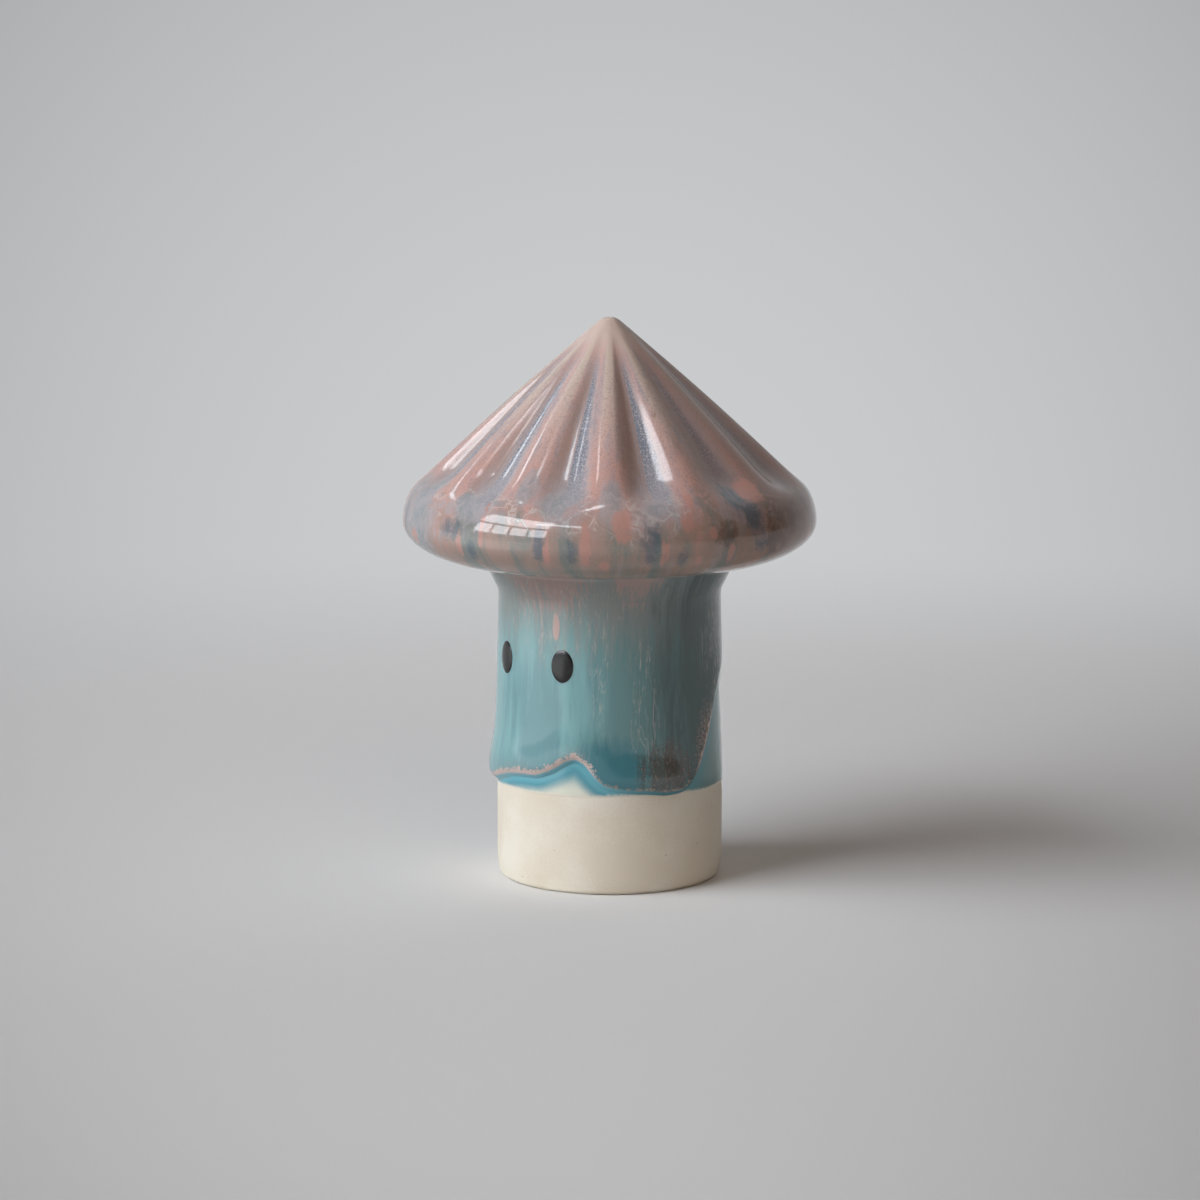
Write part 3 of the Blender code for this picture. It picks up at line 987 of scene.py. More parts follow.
        # The hem's lip: blue that is partly the glaze and partly painted light against the shade under the
        # roll, and a darker sea blue as painted shade on the side away from the window.
        lip = paint.step(above_hem + grain.sway(0.3), *self.lip_span)
        under = paint.mix(paint.step(paint.attribute("painted_shade_side"), 0.3, 0.8), self.deep, self.sea)
        colour = paint.mix(lip, colour, under)
        relief = streak + fine * 0.4
        return paint.surface(colour, self.roughness, relief, strength=0.07, depth=0.05, IOR=GLAZE_IOR)


@dataclass(frozen=True)
class DarkEnamel:
    """Fired black colour of the eye spots, a little worn and mottled."""

    black: Colour = srgb(18, 17, 18)
    worn: Colour = srgb(44, 42, 42)
    roughness: float = 0.16
    worn_roughness: float = 0.12

    def paint(self, name: str) -> bpy.types.Material:
        """Makes the material.

        Args:
            name: Name of the material.

        Returns:
            The material.
        """
        paint = Paint(name)
        cloud = paint.noise(paint.place(), 0.9, 4.0, 0.6)
        colour = paint.mix(paint.step(cloud, 0.5, 0.75), self.black, self.worn)
        roughness = self.worn_roughness * cloud + self.roughness
        return paint.surface(colour, roughness, cloud, strength=0.06, depth=0.04, IOR=GLAZE_IOR)


@dataclass(frozen=True)
class Cap:
    """The fluted cap: the clay casting inside and the glaze that shows."""

    height: float = 80.0
    radius: float = 29.4
    rim_height: float = 51.2
    rim_round: float = 8.2
    tip_radius: float = 2.4
    cone_bulge: float = 0.3
    lip_drop: float = 5.6
    neck_radius: float = 18.36
    coat: float = 0.15
    flute_count: int = 13
    flute_depth: float = 1.55
    flute_valley: float = -42.0
    flute_tip_gap: float = 4.0
    flute_ramp: float = 31.0
    flute_fade: float = 8.0
    flute_overrun: float = 3.0
    around: int = 312
    along: int = 142
    back_azimuths: tuple[float, ...] = (88.0, 121.0, 166.0, 205.0, 243.0, 281.0)
    hidden_drops: int = 20
    hidden_turn: Span = (72.0, 288.0)
    hidden_drop: Drop = Drop(0.0, 41.5, 2.3, 2.8)
    hidden_spread: Drop = Drop(4.0, 2.5, 0.8, 1.0)
    seed: int = 7

    def seen_drops(self) -> list[Drop]:
        """Salmon drops on the side that the camera sees."""
        return [
            Drop(-45.0, 43.0, 1.7, 2.8),
            Drop(-37.0, 40.0, 1.4, 4.6),
            Drop(-17.0, 43.5, 1.4, 3.0),
            Drop(-6.5, 42.0, 1.8, 4.2),
            Drop(-1.5, 46.0, 1.8, 1.6),
            Drop(4.0, 38.8, 3.8, 2.8),
            Drop(15.0, 43.5, 1.6, 3.3),
            Drop(22.0, 38.5, 2.6, 1.9),
            Drop(23.5, 35.3, 2.6, 2.6),
            Drop(25.0, 45.0, 1.4, 1.7),
            Drop(29.0, 40.3, 1.4, 1.0),
            Drop(35.0, 44.0, 1.5, 2.8),
            Drop(47.5, 34.3, 4.8, 3.0),
        ]

    def unseen_drops(self) -> list[Drop]:
        """Scatters drops over the rest of the rim.

        Returns:
            The drops.
        """
        generator = np.random.default_rng(self.seed)
        mean, spread = self.hidden_drop, self.hidden_spread
        drops = []
        for azimuth in np.linspace(*self.hidden_turn, self.hidden_drops):
            shift, along, turn, length = generator.uniform(-1.0, 1.0, 4)
            drops.append(Drop(
                azimuth + spread.azimuth * shift,
                mean.along + spread.along * along,
                mean.half_turn + spread.half_turn * turn,
                mean.half_length + spread.half_length * length,
            ))
        return drops

    def scatter(self, near: Sequence[Drop], *size: float) -> list[Drop]:
        """Adds patches of one size round the back to those that the camera sees."""
        return [*near, *(Drop(azimuth, *size) for azimuth in self.back_azimuths)]

    def pools(self) -> list[Drop]:
        """Slate pools below the flutes."""
        near = [
            Drop(11.0, 41.5, 3.2, 4.2),
            Drop(40.0, 35.5, 3.8, 3.8),
            Drop(43.5, 38.5, 4.2, 2.8),
            Drop(46.0, 42.0, 3.0, 3.0),
            Drop(-48.5, 40.8, 4.5, 2.0),
            Drop(-19.0, 42.0, 2.0, 3.4),
            Drop(-10.0, 43.0, 2.0, 3.2),
            Drop(-40.5, 44.0, 1.8, 2.6),
            Drop(20.0, 44.5, 2.0, 2.6),
        ]
        return self.scatter(near, 41.0, 3.5, 4.0)

    def hazes(self) -> list[Drop]:
        """Pale clouds where the flutes run out into the rim, and a wide pale stretch over the left of the
        rim.
        """
        near = [
            Drop(-66.0, 34.0, 5.0, 2.0),
            Drop(-70.0, 42.0, 18.0, 7.0),
            Drop(-44.0, 37.0, 7.0, 2.4),
            Drop(-26.0, 33.0, 4.5, 4.0),
            Drop(-16.0, 35.5, 5.0, 3.4),
            Drop(0.5, 34.5, 4.5, 4.0),
            Drop(13.0, 36.3, 4.5, 1.8),
        ]
        return self.scatter(near, 36.0, 6.0, 3.5)

    def embers(self) -> list[Drop]:
        """Dark brown stretches of the rim."""
        near = [Drop(57.0, 40.0, 9.0, 2.8), Drop(34.0, 40.5, 4.0, 1.8), Drop(52.0, 42.0, 7.0, 3.0)]
        return self.scatter(near, 43.0, 5.0, 2.0)

    def painted_shades(self) -> list[Drop]:
        """Painted shade: the side turned away from the window, and the shaded flank of the lobe in front."""
        return [Drop(66.0, 22.0, 44.0, 40.0), Drop(6.5, 20.0, 4.5, 16.0)]

    def patches(self) -> Patches:
        """All patches of the glaze, by the name of their field.

        Returns:
            Salmon drops, slate pools, pale hazes, brown embers and painted shade.
        """
        return {
            "drops": self.seen_drops() + self.unseen_drops(),
            "pools": self.pools(),
            "hazes": self.hazes(),
            "embers": self.embers(),
            "painted_shades": self.painted_shades(),
        }

    def tree(self, material: bpy.types.Material) -> Shape:
        """Builds the node tree of the cap: a grid that is turned about the axis and pressed into flutes.

        Args:
            material: Finish of the surface.

        Returns:
            The tree.
        """
        across = self.radius - self.rim_round
        upwards = self.height - self.tip_radius - self.rim_height
        tilt = math.atan2(upwards, across)
        cone = math.acos((self.tip_radius - self.rim_round) / math.hypot(across, upwards)) - tilt
        slant = across + (self.rim_round - self.tip_radius) * math.cos(cone)
        shape = Shape("fluted_cap")
        cosine, sine = shape.cosine, shape.sine
        around = shape.size("Around", self.around)
        along = shape.size("Along", self.along)
        top = shape.size("Top", self.height)
        angle = shape.size("Cone Angle", cone)
        tip = shape.size("Tip Radius", self.tip_radius)
        rim = shape.size("Rim Radius", self.rim_round)
        run = shape.size("Cone Length", slant / math.sin(cone))
        width = shape.size("Lip Width", self.radius - self.neck_radius)
        drop = shape.size("Lip Drop", self.lip_drop)
        bulge = shape.size("Cone Bulge", self.cone_bulge)
        count = shape.size("Flute Count", self.flute_count)
        depth = shape.size("Flute Depth", self.flute_depth)
        valley_at = shape.size("Flute Valley", math.radians(self.flute_valley + VIEW_AZIMUTH))
        start = shape.size("Flute Start", self.flute_tip_gap)
        ramp = shape.size("Flute Ramp", self.flute_ramp)
        overrun = shape.size("Flute Overrun", self.flute_overrun)
        fade = shape.size("Flute Fade", self.flute_fade)

        grid = shape.node("GeometryNodeMeshGrid", inputs={0: 1.0, 1: 1.0, 2: around + 1, 3: along + 1})
        x, y, _ = shape.separate(shape.read(shape.node("GeometryNodeInputPosition")))
        azimuth = (x + 0.5) * (2.0 * math.pi)
        tip_arc = tip * (math.pi / 2.0 - angle)
        rim_arc = rim * angle
        lip_arc = (width + drop) * (math.pi / 4.0)
        slope = (0.5 - y) * (tip_arc + run + rim_arc + lip_arc)
        tip_share = shape.clamp(slope / tip_arc)
        run_share = shape.clamp((slope - tip_arc) / run)
        rim_share = shape.clamp((slope - tip_arc - run) / rim_arc)
        lip_share = shape.clamp((slope - tip_arc - run - rim_arc) / lip_arc)
        tip_angle = math.pi / 2.0 - tip_share * (math.pi / 2.0 - angle)
        rim_angle = angle * (1.0 - rim_share)
        lip_angle = lip_share * (math.pi / 2.0)

        rounded = rim * (cosine(rim_angle) - cosine(angle)) - width * (1.0 - cosine(lip_angle))
        swell = bulge * sine(run_share * math.pi)
        radius = tip * cosine(tip_angle) + run_share * run * sine(angle) + swell * cosine(angle) + rounded
        sunk = rim * (sine(rim_angle) - sine(angle)) - drop * sine(lip_angle)
        height = top - tip + tip * sine(tip_angle) - run_share * run * cosine(angle)
        height = height + swell * sine(angle) + sunk

        turn = shape.math("FRACT", (azimuth - valley_at) * count / (2.0 * math.pi) + 1.0)
        aside = turn * 2.0 - 1.0
        valley = 0.5 - cosine(aside * math.pi) * 0.5
        point_slope = slope - tip_arc + tip / shape.math("TANGENT", angle)
        rim_start = run + tip / shape.math("TANGENT", angle)
        rise = shape.clamp((point_slope - start) / ramp)
        fall = shape.step((rim_start + overrun - point_slope) / fade, 0.0, 1.0)
        press = depth * rise * fall * valley
        facing = tip_angle + rim_angle - angle
        radius = radius - press * cosine(facing)
        height = height - press * sine(facing)

        geometry = shape.store(shape.read(grid), "slope", slope)
        geometry = shape.store(geometry, "valley", valley)
        geometry = shape.store(geometry, "lee", shape.greatest(aside, 0.0))
        geometry = shape.store(geometry, "lit", shape.greatest(-aside, 0.0))
        place = shape.combine(radius * sine(azimuth) * MM, -radius * cosine(azimuth) * MM, height * MM)
        moved = shape.node("GeometryNodeSetPosition", inputs={"Geometry": geometry, "Position": place})
        seam = {"Geometry": shape.read(moved), "Distance": SEAM_DISTANCE}
        shape.close(shape.read(shape.node("GeometryNodeMergeByDistance", inputs=seam)), material)
        return shape

    def build(self, clay: BareClay, glaze: RoseGlaze) -> None:
        """Makes the glaze of the cap and dresses the casting.

        Args:
            clay: Finish of the casting.
            glaze: Finish of the glaze.
        """
        dress("cap_casting", clay.paint("cap_clay"))
        piece = self.tree(glaze.paint("rose_glaze")).make("cap_skin", self.coat * MM)
        write_patches(piece.data, self.patches(), azimuths(piece.data), read_field(piece.data, "slope"))
        settle(piece, "cap_glaze")


@dataclass(frozen=True)
class HemPoint:
    """One point of the curtain's lower edge."""

    azimuth: float
    height: float


@dataclass(frozen=True)
class Stem:
    """The stem: its clay casting, the two glazes over it and the slip that joins it to the cap.

    A wave of the dip line is given by its height, the number of its crests and its phase. The hem is worked
    out in steps of azimuth, and its blur and window are counted in these steps.
    """

    foot_radius: float = 16.1
    straight_height: float = 12.0
    draft: float = 2.2
    top: float = 44.4
    wall: float = 4.0
    floor: float = 4.0
    floor_fillet: float = 1.5
    drain_radius: float = 5.0
    drain_chamfer: float = 0.6
    taper_height: float = 3.5
    taper: float = 0.3
    taper_share: float = 0.9
    foot_round: float = 0.9
    dip_height: float = 13.5
    dip_tilt: float = 0.6
    dip_waves: tuple[tuple[float, float, float], ...] = ((0.08, 5.0, 0.0), (0.05, 11.0, 40.0))
    dip_feather: float = 1.6
    first_coat: float = 0.16
    first_edge: float = 0.02
    first_seat: float = 0.005
    first_top: float = 39.8
    curtain_seat: float = 0.03
    glaze_radius: float = 16.28
    glaze_level: float = 25.0
    glaze_taper: float = 0.0264
    neck_start: float = 40.0
    neck_fillet: float = 7.2
    neck_top: float = 45.45
    neck_wall: float = 0.3
    hem_step: float = 0.5
    hem_blur: float = 3.5
    hem_window: int = 12
    hem_roll: float = 0.5
    hem_lip: float = 1.5
    hem_reach: float = 3.4
    thin_azimuth: float = 90.0
    thin_half_turn: float = 15.0
    thin_lip: float = 5.0
    heavy_azimuth: float = -86.0
    heavy_half_turn: float = 20.0
    heavy_roll: float = 0.78
    heavy_reach: float = 4.8
    turns: int = 288
    curtain_rows: int = 90
    curtain_crowding: float = 1.6
    first_rows: int = 60
    first_crowding: float = 1.7
    side_rows: int = 9
    taper_rows: int = 6
    foot_steps: int = 8
    floor_steps: int = 6
    back_crowns: tuple[float, ...] = (95.0, 140.0, 185.0, 228.0, 262.0)
    back_runs: tuple[float, ...] = (75.0, 125.0, 180.0, 240.0)

    def hem_points(self) -> list[HemPoint]:
        """Points that the lower edge of the curtain runs through, once round."""
        return [HemPoint(azimuth, height) for azimuth, height in (
            (-150.0, 15.2), (-120.0, 14.1), (-95.0, 13.9), (-76.0, 14.2), (-66.0, 15.0), (-57.0, 15.7),
            (-48.0, 16.0), (-38.5, 16.1), (-29.0, 17.1), (-21.3, 18.5), (-17.4, 19.1), (-13.6, 18.5),
            (-9.7, 16.9), (-4.8, 15.5), (0.0, 15.0), (9.7, 14.6), (19.4, 14.4), (29.0, 14.0),
            (38.5, 14.1), (43.3, 14.7), (48.0, 16.0), (52.5, 17.8), (57.0, 20.2), (61.4, 23.0),
            (66.0, 26.0), (73.0, 28.6), (82.0, 28.8), (90.0, 27.6), (99.0, 25.6), (110.0, 22.4),
            (121.0, 18.4), (132.0, 15.6), (147.0, 14.5), (165.0, 15.0), (178.0, 17.6), (188.0, 19.3),
            (198.0, 17.6),
        )]

    def hem_samples(self) -> Array:
        """Azimuths, once round, at which the hem is worked out."""
        return np.arange(-180.0, 180.0, self.hem_step)

    def hem(self, azimuth: Array) -> Array:
        """Height of the hem, eased through its points.

        Args:
            azimuth: Azimuths in degrees.

        Returns:
            Heights in millimetres.
        """
        points = self.hem_points()
        samples = self.hem_samples()
        heights = np.interp(samples, [p.azimuth for p in points], [p.height for p in points], period=360.0)
        window = self.hem_window
        kernel = np.exp(-0.5 * (np.arange(-window, window + 1) / self.hem_blur) ** 2)
        wrapped = np.concatenate([heights[-window:], heights, heights[:window]])
        smooth = np.convolve(wrapped, kernel / kernel.sum(), mode="valid")
        return np.interp(azimuth, samples, smooth, period=360.0)

    def above_hem(self, azimuth: Array, height: Array) -> Array:
        """Distance of points from the hem along the surface, positive above it.

        Args:
            azimuth: Azimuths in degrees.
            height: Heights in millimetres.

        Returns:
            Distances in millimetres.
        """
        samples = self.hem_samples()
        girth = math.radians(1.0) * self.glaze_radius
        nearest = np.full(azimuth.shape, np.inf)
        for sample, level in zip(samples, self.hem(samples)):
            across = turn_between(azimuth, sample) * girth
            nearest = np.minimum(nearest, across ** 2 + (height - level) ** 2)
        return np.sqrt(nearest) * np.sign(height - self.hem(azimuth))

    def clay_radius(self, height: Array) -> Array:
        """Radius of the clay: straight at the foot, narrowing above."""
        risen = np.maximum(0.0, height - self.straight_height)
        return self.foot_radius - risen * math.tan(math.radians(self.draft))

    def dip(self, azimuth: Array) -> Array:
        """Height of the dip line, a little aslant and uneven.

        Args:
            azimuth: Azimuths in degrees.

        Returns:
            Heights in millimetres.
        """
        level = self.dip_height + self.dip_tilt * np.cos(np.radians(azimuth))
        for rise, count, phase in self.dip_waves:
            level = level + rise * np.sin(np.radians(azimuth * count + phase))
        return level

    def first_radius(self, azimuth: Array, height: Array) -> Array:
        """Outside radius of the first coat, which thins out to its dip line."""
        share = np.clip((height - self.dip(azimuth)) / self.dip_feather, 0.0, 1.0)
        return self.clay_radius(height) + self.first_edge + self.first_coat * np.sqrt(share)

    def curtain_radius(self, azimuth: Array, height: Array, above: Array) -> Array:
        """Outside radius of the curtain, whose rolled hem is heavy at one side and thins out at the other.

        Args:
            azimuth: Azimuths in degrees.
            height: Heights in millimetres.
            above: Distances above the hem.

        Returns:
            Radii in millimetres.
        """
        body = self.glaze_radius - (height - self.glaze_level) * self.glaze_taper
        rise = np.clip(height - self.neck_start, 0.0, self.neck_fillet)
        body = body + self.neck_fillet - np.sqrt(self.neck_fillet ** 2 - rise ** 2)
        thin = np.exp(-(turn_between(azimuth, self.thin_azimuth) / self.thin_half_turn) ** 2)
        heavy = np.exp(-(turn_between(azimuth, self.heavy_azimuth) / self.heavy_half_turn) ** 2)
        fullness = self.hem_roll * (1.0 - thin) + (self.heavy_roll - self.hem_roll) * heavy
        fade = self.hem_reach + (self.heavy_reach - self.hem_reach) * heavy
        roll = fullness * np.exp(-((np.maximum(above, self.hem_lip) - self.hem_lip) / fade) ** 2)
        reach = self.hem_lip + (self.thin_lip - self.hem_lip) * thin
        lip = 1.0 - (1.0 - np.clip(above / reach, 0.0, 1.0)) ** 2
        under = self.clay_radius(height) + self.first_coat
        return under + (body + roll - under) * lip

    def patches(self) -> Patches:
        """All patches of the two glazes, by the name of their field.

        Returns:
            Crown, where the cap's glaze has run onto the stem. Runs, where pale runs are thickest. Tears, a
            salmon drop. Scorch, brown near the hem. Painted shade side, the darker and greyer side, where
            shade is painted away from the window. Deeps, where the colour is deepest. Blush, where the hem is
            edged in pink.
        """
        return {
            "crown": [
                Drop(-32.0, 46.0, 26.0, 6.5),
                Drop(13.0, 46.0, 12.0, 4.8),
                *(Drop(azimuth, 46.5, 16.0, 4.5) for azimuth in self.back_crowns),
            ],
            "runs": [
                Drop(-30.0, 41.0, 34.0, 7.0),
                Drop(-5.0, 33.0, 5.0, 11.0),
                Drop(18.0, 26.0, 8.0, 11.0),
                *(Drop(azimuth, 34.0, 22.0, 12.0) for azimuth in self.back_runs),
            ],
            "tears": [Drop(-28.0, 38.0, 2.4, 2.3)],
            "scorch": [
                Drop(29.0, 17.5, 17.0, 5.0),
                Drop(54.0, 20.5, 7.0, 6.0),
                Drop(150.0, 18.0, 16.0, 4.0),
            ],
            # Painted shade: the side turned away from the window, and a stretch at the back.
            "painted_shade_side": [Drop(60.0, 28.0, 76.0, 60.0), Drop(205.0, 32.0, 30.0, 20.0)],
            "deeps": [Drop(2.0, 17.5, 18.0, 4.8), Drop(140.0, 17.0, 20.0, 4.0)],
            "blush": [
                Drop(-52.0, 16.2, 38.0, 4.0),
                Drop(-17.0, 19.5, 12.0, 4.0),
                Drop(55.0, 21.5, 10.0, 7.0),
                Drop(120.0, 20.0, 14.0, 6.0),
                Drop(188.0, 19.0, 14.0, 4.0),
                Drop(-110.0, 14.5, 16.0, 4.0),
            ],
        }

    def build_clay(self, clay: BareClay) -> None:
        """Makes the casting, whose foot stays bare.

        Args:
            clay: Its finish.
        """
        foot = self.foot_radius - self.taper
        inner_floor = self.floor + self.floor_fillet
        bore, mouth = self.clay_radius(np.array([inner_floor, self.top])) - self.wall
        side = np.linspace(self.top, self.straight_height, self.side_rows)
        share = np.linspace(0.0, self.taper_share, self.taper_rows)
        lower = self.taper_height - (self.taper_height - self.foot_round) * share
        outline = list(zip(self.clay_radius(side), side))
        outline += zip(self.foot_radius - self.taper * share * share, lower)
        corner = (foot - self.foot_round, self.foot_round)
        outline += arc(corner, self.foot_round, 0.0, -90.0, self.foot_steps)
        outline += [(self.drain_radius + self.drain_chamfer, 0.0), (self.drain_radius, self.drain_chamfer)]
        outline += [(self.drain_radius, self.floor)]
        corner = (bore - self.floor_fillet, inner_floor)
        outline += arc(corner, self.floor_fillet, -90.0, 0.0, self.floor_steps)
        outline += [(mouth, self.top)]
        section = np.array(outline)
        radius = np.repeat(section[:, :1], self.turns, axis=1)
        height = np.repeat(section[:, 1:], self.turns, axis=1)
        piece = add_piece("stem_clay", ring_mesh("stem_clay", radius, height), clay.paint("stem_clay"))
        settle(piece, "stem_casting")

    def build_first_coat(self, glaze: LightBlueGlaze) -> None:
        """Makes the first coat, which shows between the dip line and the hem.

        Args:
            glaze: Its finish.
        """
        azimuth = np.repeat(ring_azimuths(self.turns)[None, :], self.first_rows, axis=0)
        share = np.linspace(1.0, 0.0, self.first_rows)[:, None] ** self.first_crowding
        height = self.dip(azimuth) + (self.first_top - self.dip(azimuth)) * share
        radius = self.first_radius(azimuth, height)
        inner_height = np.stack([height[-1], height[0]])
        inner_radius = self.clay_radius(inner_height) + self.first_seat
        places = np.vstack([azimuth, azimuth[:2]])
        levels = np.vstack([height, inner_height])
        mesh = ring_mesh("first_coat_skin", np.vstack([radius, inner_radius]), levels)
        write_field(mesh, "below_hem", -self.above_hem(places, levels))
        write_field(mesh, "above_dip", levels - self.dip(places))
        write_patches(mesh, {"painted_shade_side": self.patches()["painted_shade_side"]}, places, levels)
        piece = add_piece("first_coat_skin", mesh, glaze.paint("light_blue_glaze"))
        settle(piece, "first_coat")

    def build_curtain(self, glaze: TealGlaze) -> None:
        """Makes the curtain of the second glaze with its rolled hem.

        Args:
            glaze: Its finish.
        """
        azimuth = np.repeat(ring_azimuths(self.turns)[None, :], self.curtain_rows, axis=0)
        share = np.linspace(1.0, 0.0, self.curtain_rows)[:, None] ** self.curtain_crowding
        hem = self.hem(azimuth)
        height = hem + (self.neck_top - hem) * share
        above = self.above_hem(azimuth, height)
        radius = self.curtain_radius(azimuth, height, above)
        inner_height = np.stack([height[-1], np.full(self.turns, self.neck_start), height[0]])
        inner_radius = self.clay_radius(inner_height) + self.first_coat + self.curtain_seat
        inner_radius[-1] = radius[0] - self.neck_wall
        places = np.vstack([azimuth, azimuth[:3]])
        levels = np.vstack([height, inner_height])
        mesh = ring_mesh("curtain_skin", np.vstack([radius, inner_radius]), levels)
        write_field(mesh, "above_hem", np.vstack([above, above[-1:], above[:1], above[:1]]))
        write_patches(mesh, self.patches(), places, levels)
        piece = add_piece("curtain_skin", mesh, glaze.paint("teal_glaze"))
        settle(piece, "glaze_curtain")

    def build(self, clay: BareClay, first: LightBlueGlaze, second: TealGlaze) -> None:
        """Makes all pieces of the stem.

        Args:
            clay: Finish of the casting.
            first: Finish of the first coat.
            second: Finish of the curtain.
        """
        dress("luting_slip", clay.paint("slip_clay"))
        self.build_clay(clay)
        self.build_first_coat(first)
        self.build_curtain(second)


@dataclass(frozen=True)
class Eyes:
    """Two plain oval spots of dark enamel."""

    width: float = 3.4
    height: float = 4.6
    level: float = 32.5
    face_azimuth: float = 20.0
    dome: float = 0.22
    edge: float = 0.05
    rings: int = 14
    back_rings: int = 3
    steps: int = 72

    def build_spot(self, side: Side, stem: Stem, enamel: DarkEnamel) -> None:
        """Makes one spot on the curtain.

        Args:
            side: The figurine's own side.
            stem: The stem that carries the spot.
            enamel: Finish of the spot.
        """
        front = np.linspace(0.0, 1.0, self.rings + 1)
        share = np.concatenate([front, np.linspace(1.0, 0.0, self.back_rings)])[:, None]
        angle = (np.arange(self.steps) * 2.0 * math.pi / self.steps)[None, :]
        level = self.level + share * np.sin(angle) * self.height / 2.0
        turn = np.degrees(share * np.cos(angle) * self.width / 2.0 / stem.glaze_radius)
        azimuth = side.value * self.face_azimuth - VIEW_AZIMUTH + turn
        seat = stem.curtain_radius(azimuth, level, stem.above_hem(azimuth, level))
        lift = self.edge + self.dome * np.sqrt(np.clip(1.0 - share ** 2, 0.0, 1.0))
        lift[self.rings + 1:] = -self.edge
        radius = seat + lift
        psi = np.radians(azimuth + VIEW_AZIMUTH)
        points = np.stack([radius * np.sin(psi), -radius * np.cos(psi), level], axis=-1) * MM
        index = np.arange(points.shape[0] * self.steps).reshape(points.shape[0], self.steps)
        after = np.roll(index, -1, axis=1)
        faces = np.stack([index[:-1], index[1:], after[1:], after[:-1]], axis=-1)
        name = f"{side.name.lower()}_eye_spot"
        mesh = bpy.data.meshes.new(name)
        mesh.from_pydata(points.reshape(-1, 3).tolist(), [], faces.reshape(-1, 4).tolist())
        close_poles(mesh)
        piece = add_piece(name, mesh, enamel.paint(f"{name}_enamel"))
        settle(piece, f"{side.name.lower()}_eye")

    def build(self, stem: Stem, enamel: DarkEnamel) -> None:
        """Makes both spots.

        Args:
            stem: The stem that carries them.
            enamel: Their finish.
        """
        for side in Side:
            self.build_spot(side, stem, enamel)


def close_poles(mesh: bpy.types.Mesh) -> None:
    """Merges the points of a mesh that lie on each other, and shades it smooth.

    Args:
        mesh: The mesh, which is changed.
    """
    shape = bmesh.new()
    shape.from_mesh(mesh)
    bmesh.ops.remove_doubles(shape, verts=shape.verts, dist=POLE_DISTANCE)
    bmesh.ops.recalc_face_normals(shape, faces=shape.faces)
    shape.to_mesh(mesh)
    shape.free()
    mesh.shade_smooth()
    mesh.set_sharp_from_angle(angle=SHARP_ANGLE)


def direction(azimuth: float, elevation: float) -> Vector:
    """Direction as seen from the figurine.

    Args:
        azimuth: Azimuth from the viewed side.
        elevation: Angle above the floor.

    Returns:
        A unit vector.
    """
    turn = math.radians(azimuth + VIEW_AZIMUTH)
    rise = math.radians(elevation)
    return Vector((math.sin(turn) * math.cos(rise), -math.cos(turn) * math.cos(rise), math.sin(rise)))


@dataclass(frozen=True)
class Lamp:
    """A rectangular lamp, by where it stands in the sky of the figurine and by its brightness.

    Width and height are angles as the figurine sees them, and a brightness of 1 shows as white. The distance
    and the height of the point that the lamp faces are in metres.
    """

    name: str
    azimuth: float
    elevation: float
    width: float
    height: float
    brightness: float
    colour: tuple[float, float, float]
    distance: float = 1.2
    aim_height: float = 0.04
    on_matt: bool = True
    on_gloss: bool = True

    def build(self) -> None:
        """Makes the lamp, facing the figurine."""
        light = bpy.data.lights.new(self.name, "AREA")
        light.shape = "RECTANGLE"
        light.size = 2.0 * self.distance * math.tan(math.radians(self.width / 2.0))
        light.size_y = 2.0 * self.distance * math.tan(math.radians(self.height / 2.0))
        light.energy = self.brightness * math.pi * light.size * light.size_y
        light.color = self.colour
        lamp = bpy.data.objects.new(self.name, light)
        away = direction(self.azimuth, self.elevation)
        lamp.location = away * self.distance + Vector((0.0, 0.0, self.aim_height))
        lamp.rotation_euler = away.to_track_quat("Z", "Y").to_euler()
        lamp.visible_camera = False
        lamp.visible_diffuse = self.on_matt
        lamp.visible_glossy = self.on_gloss
        bpy.context.scene.collection.objects.link(lamp)
        log.info("lamp %s", self.name)


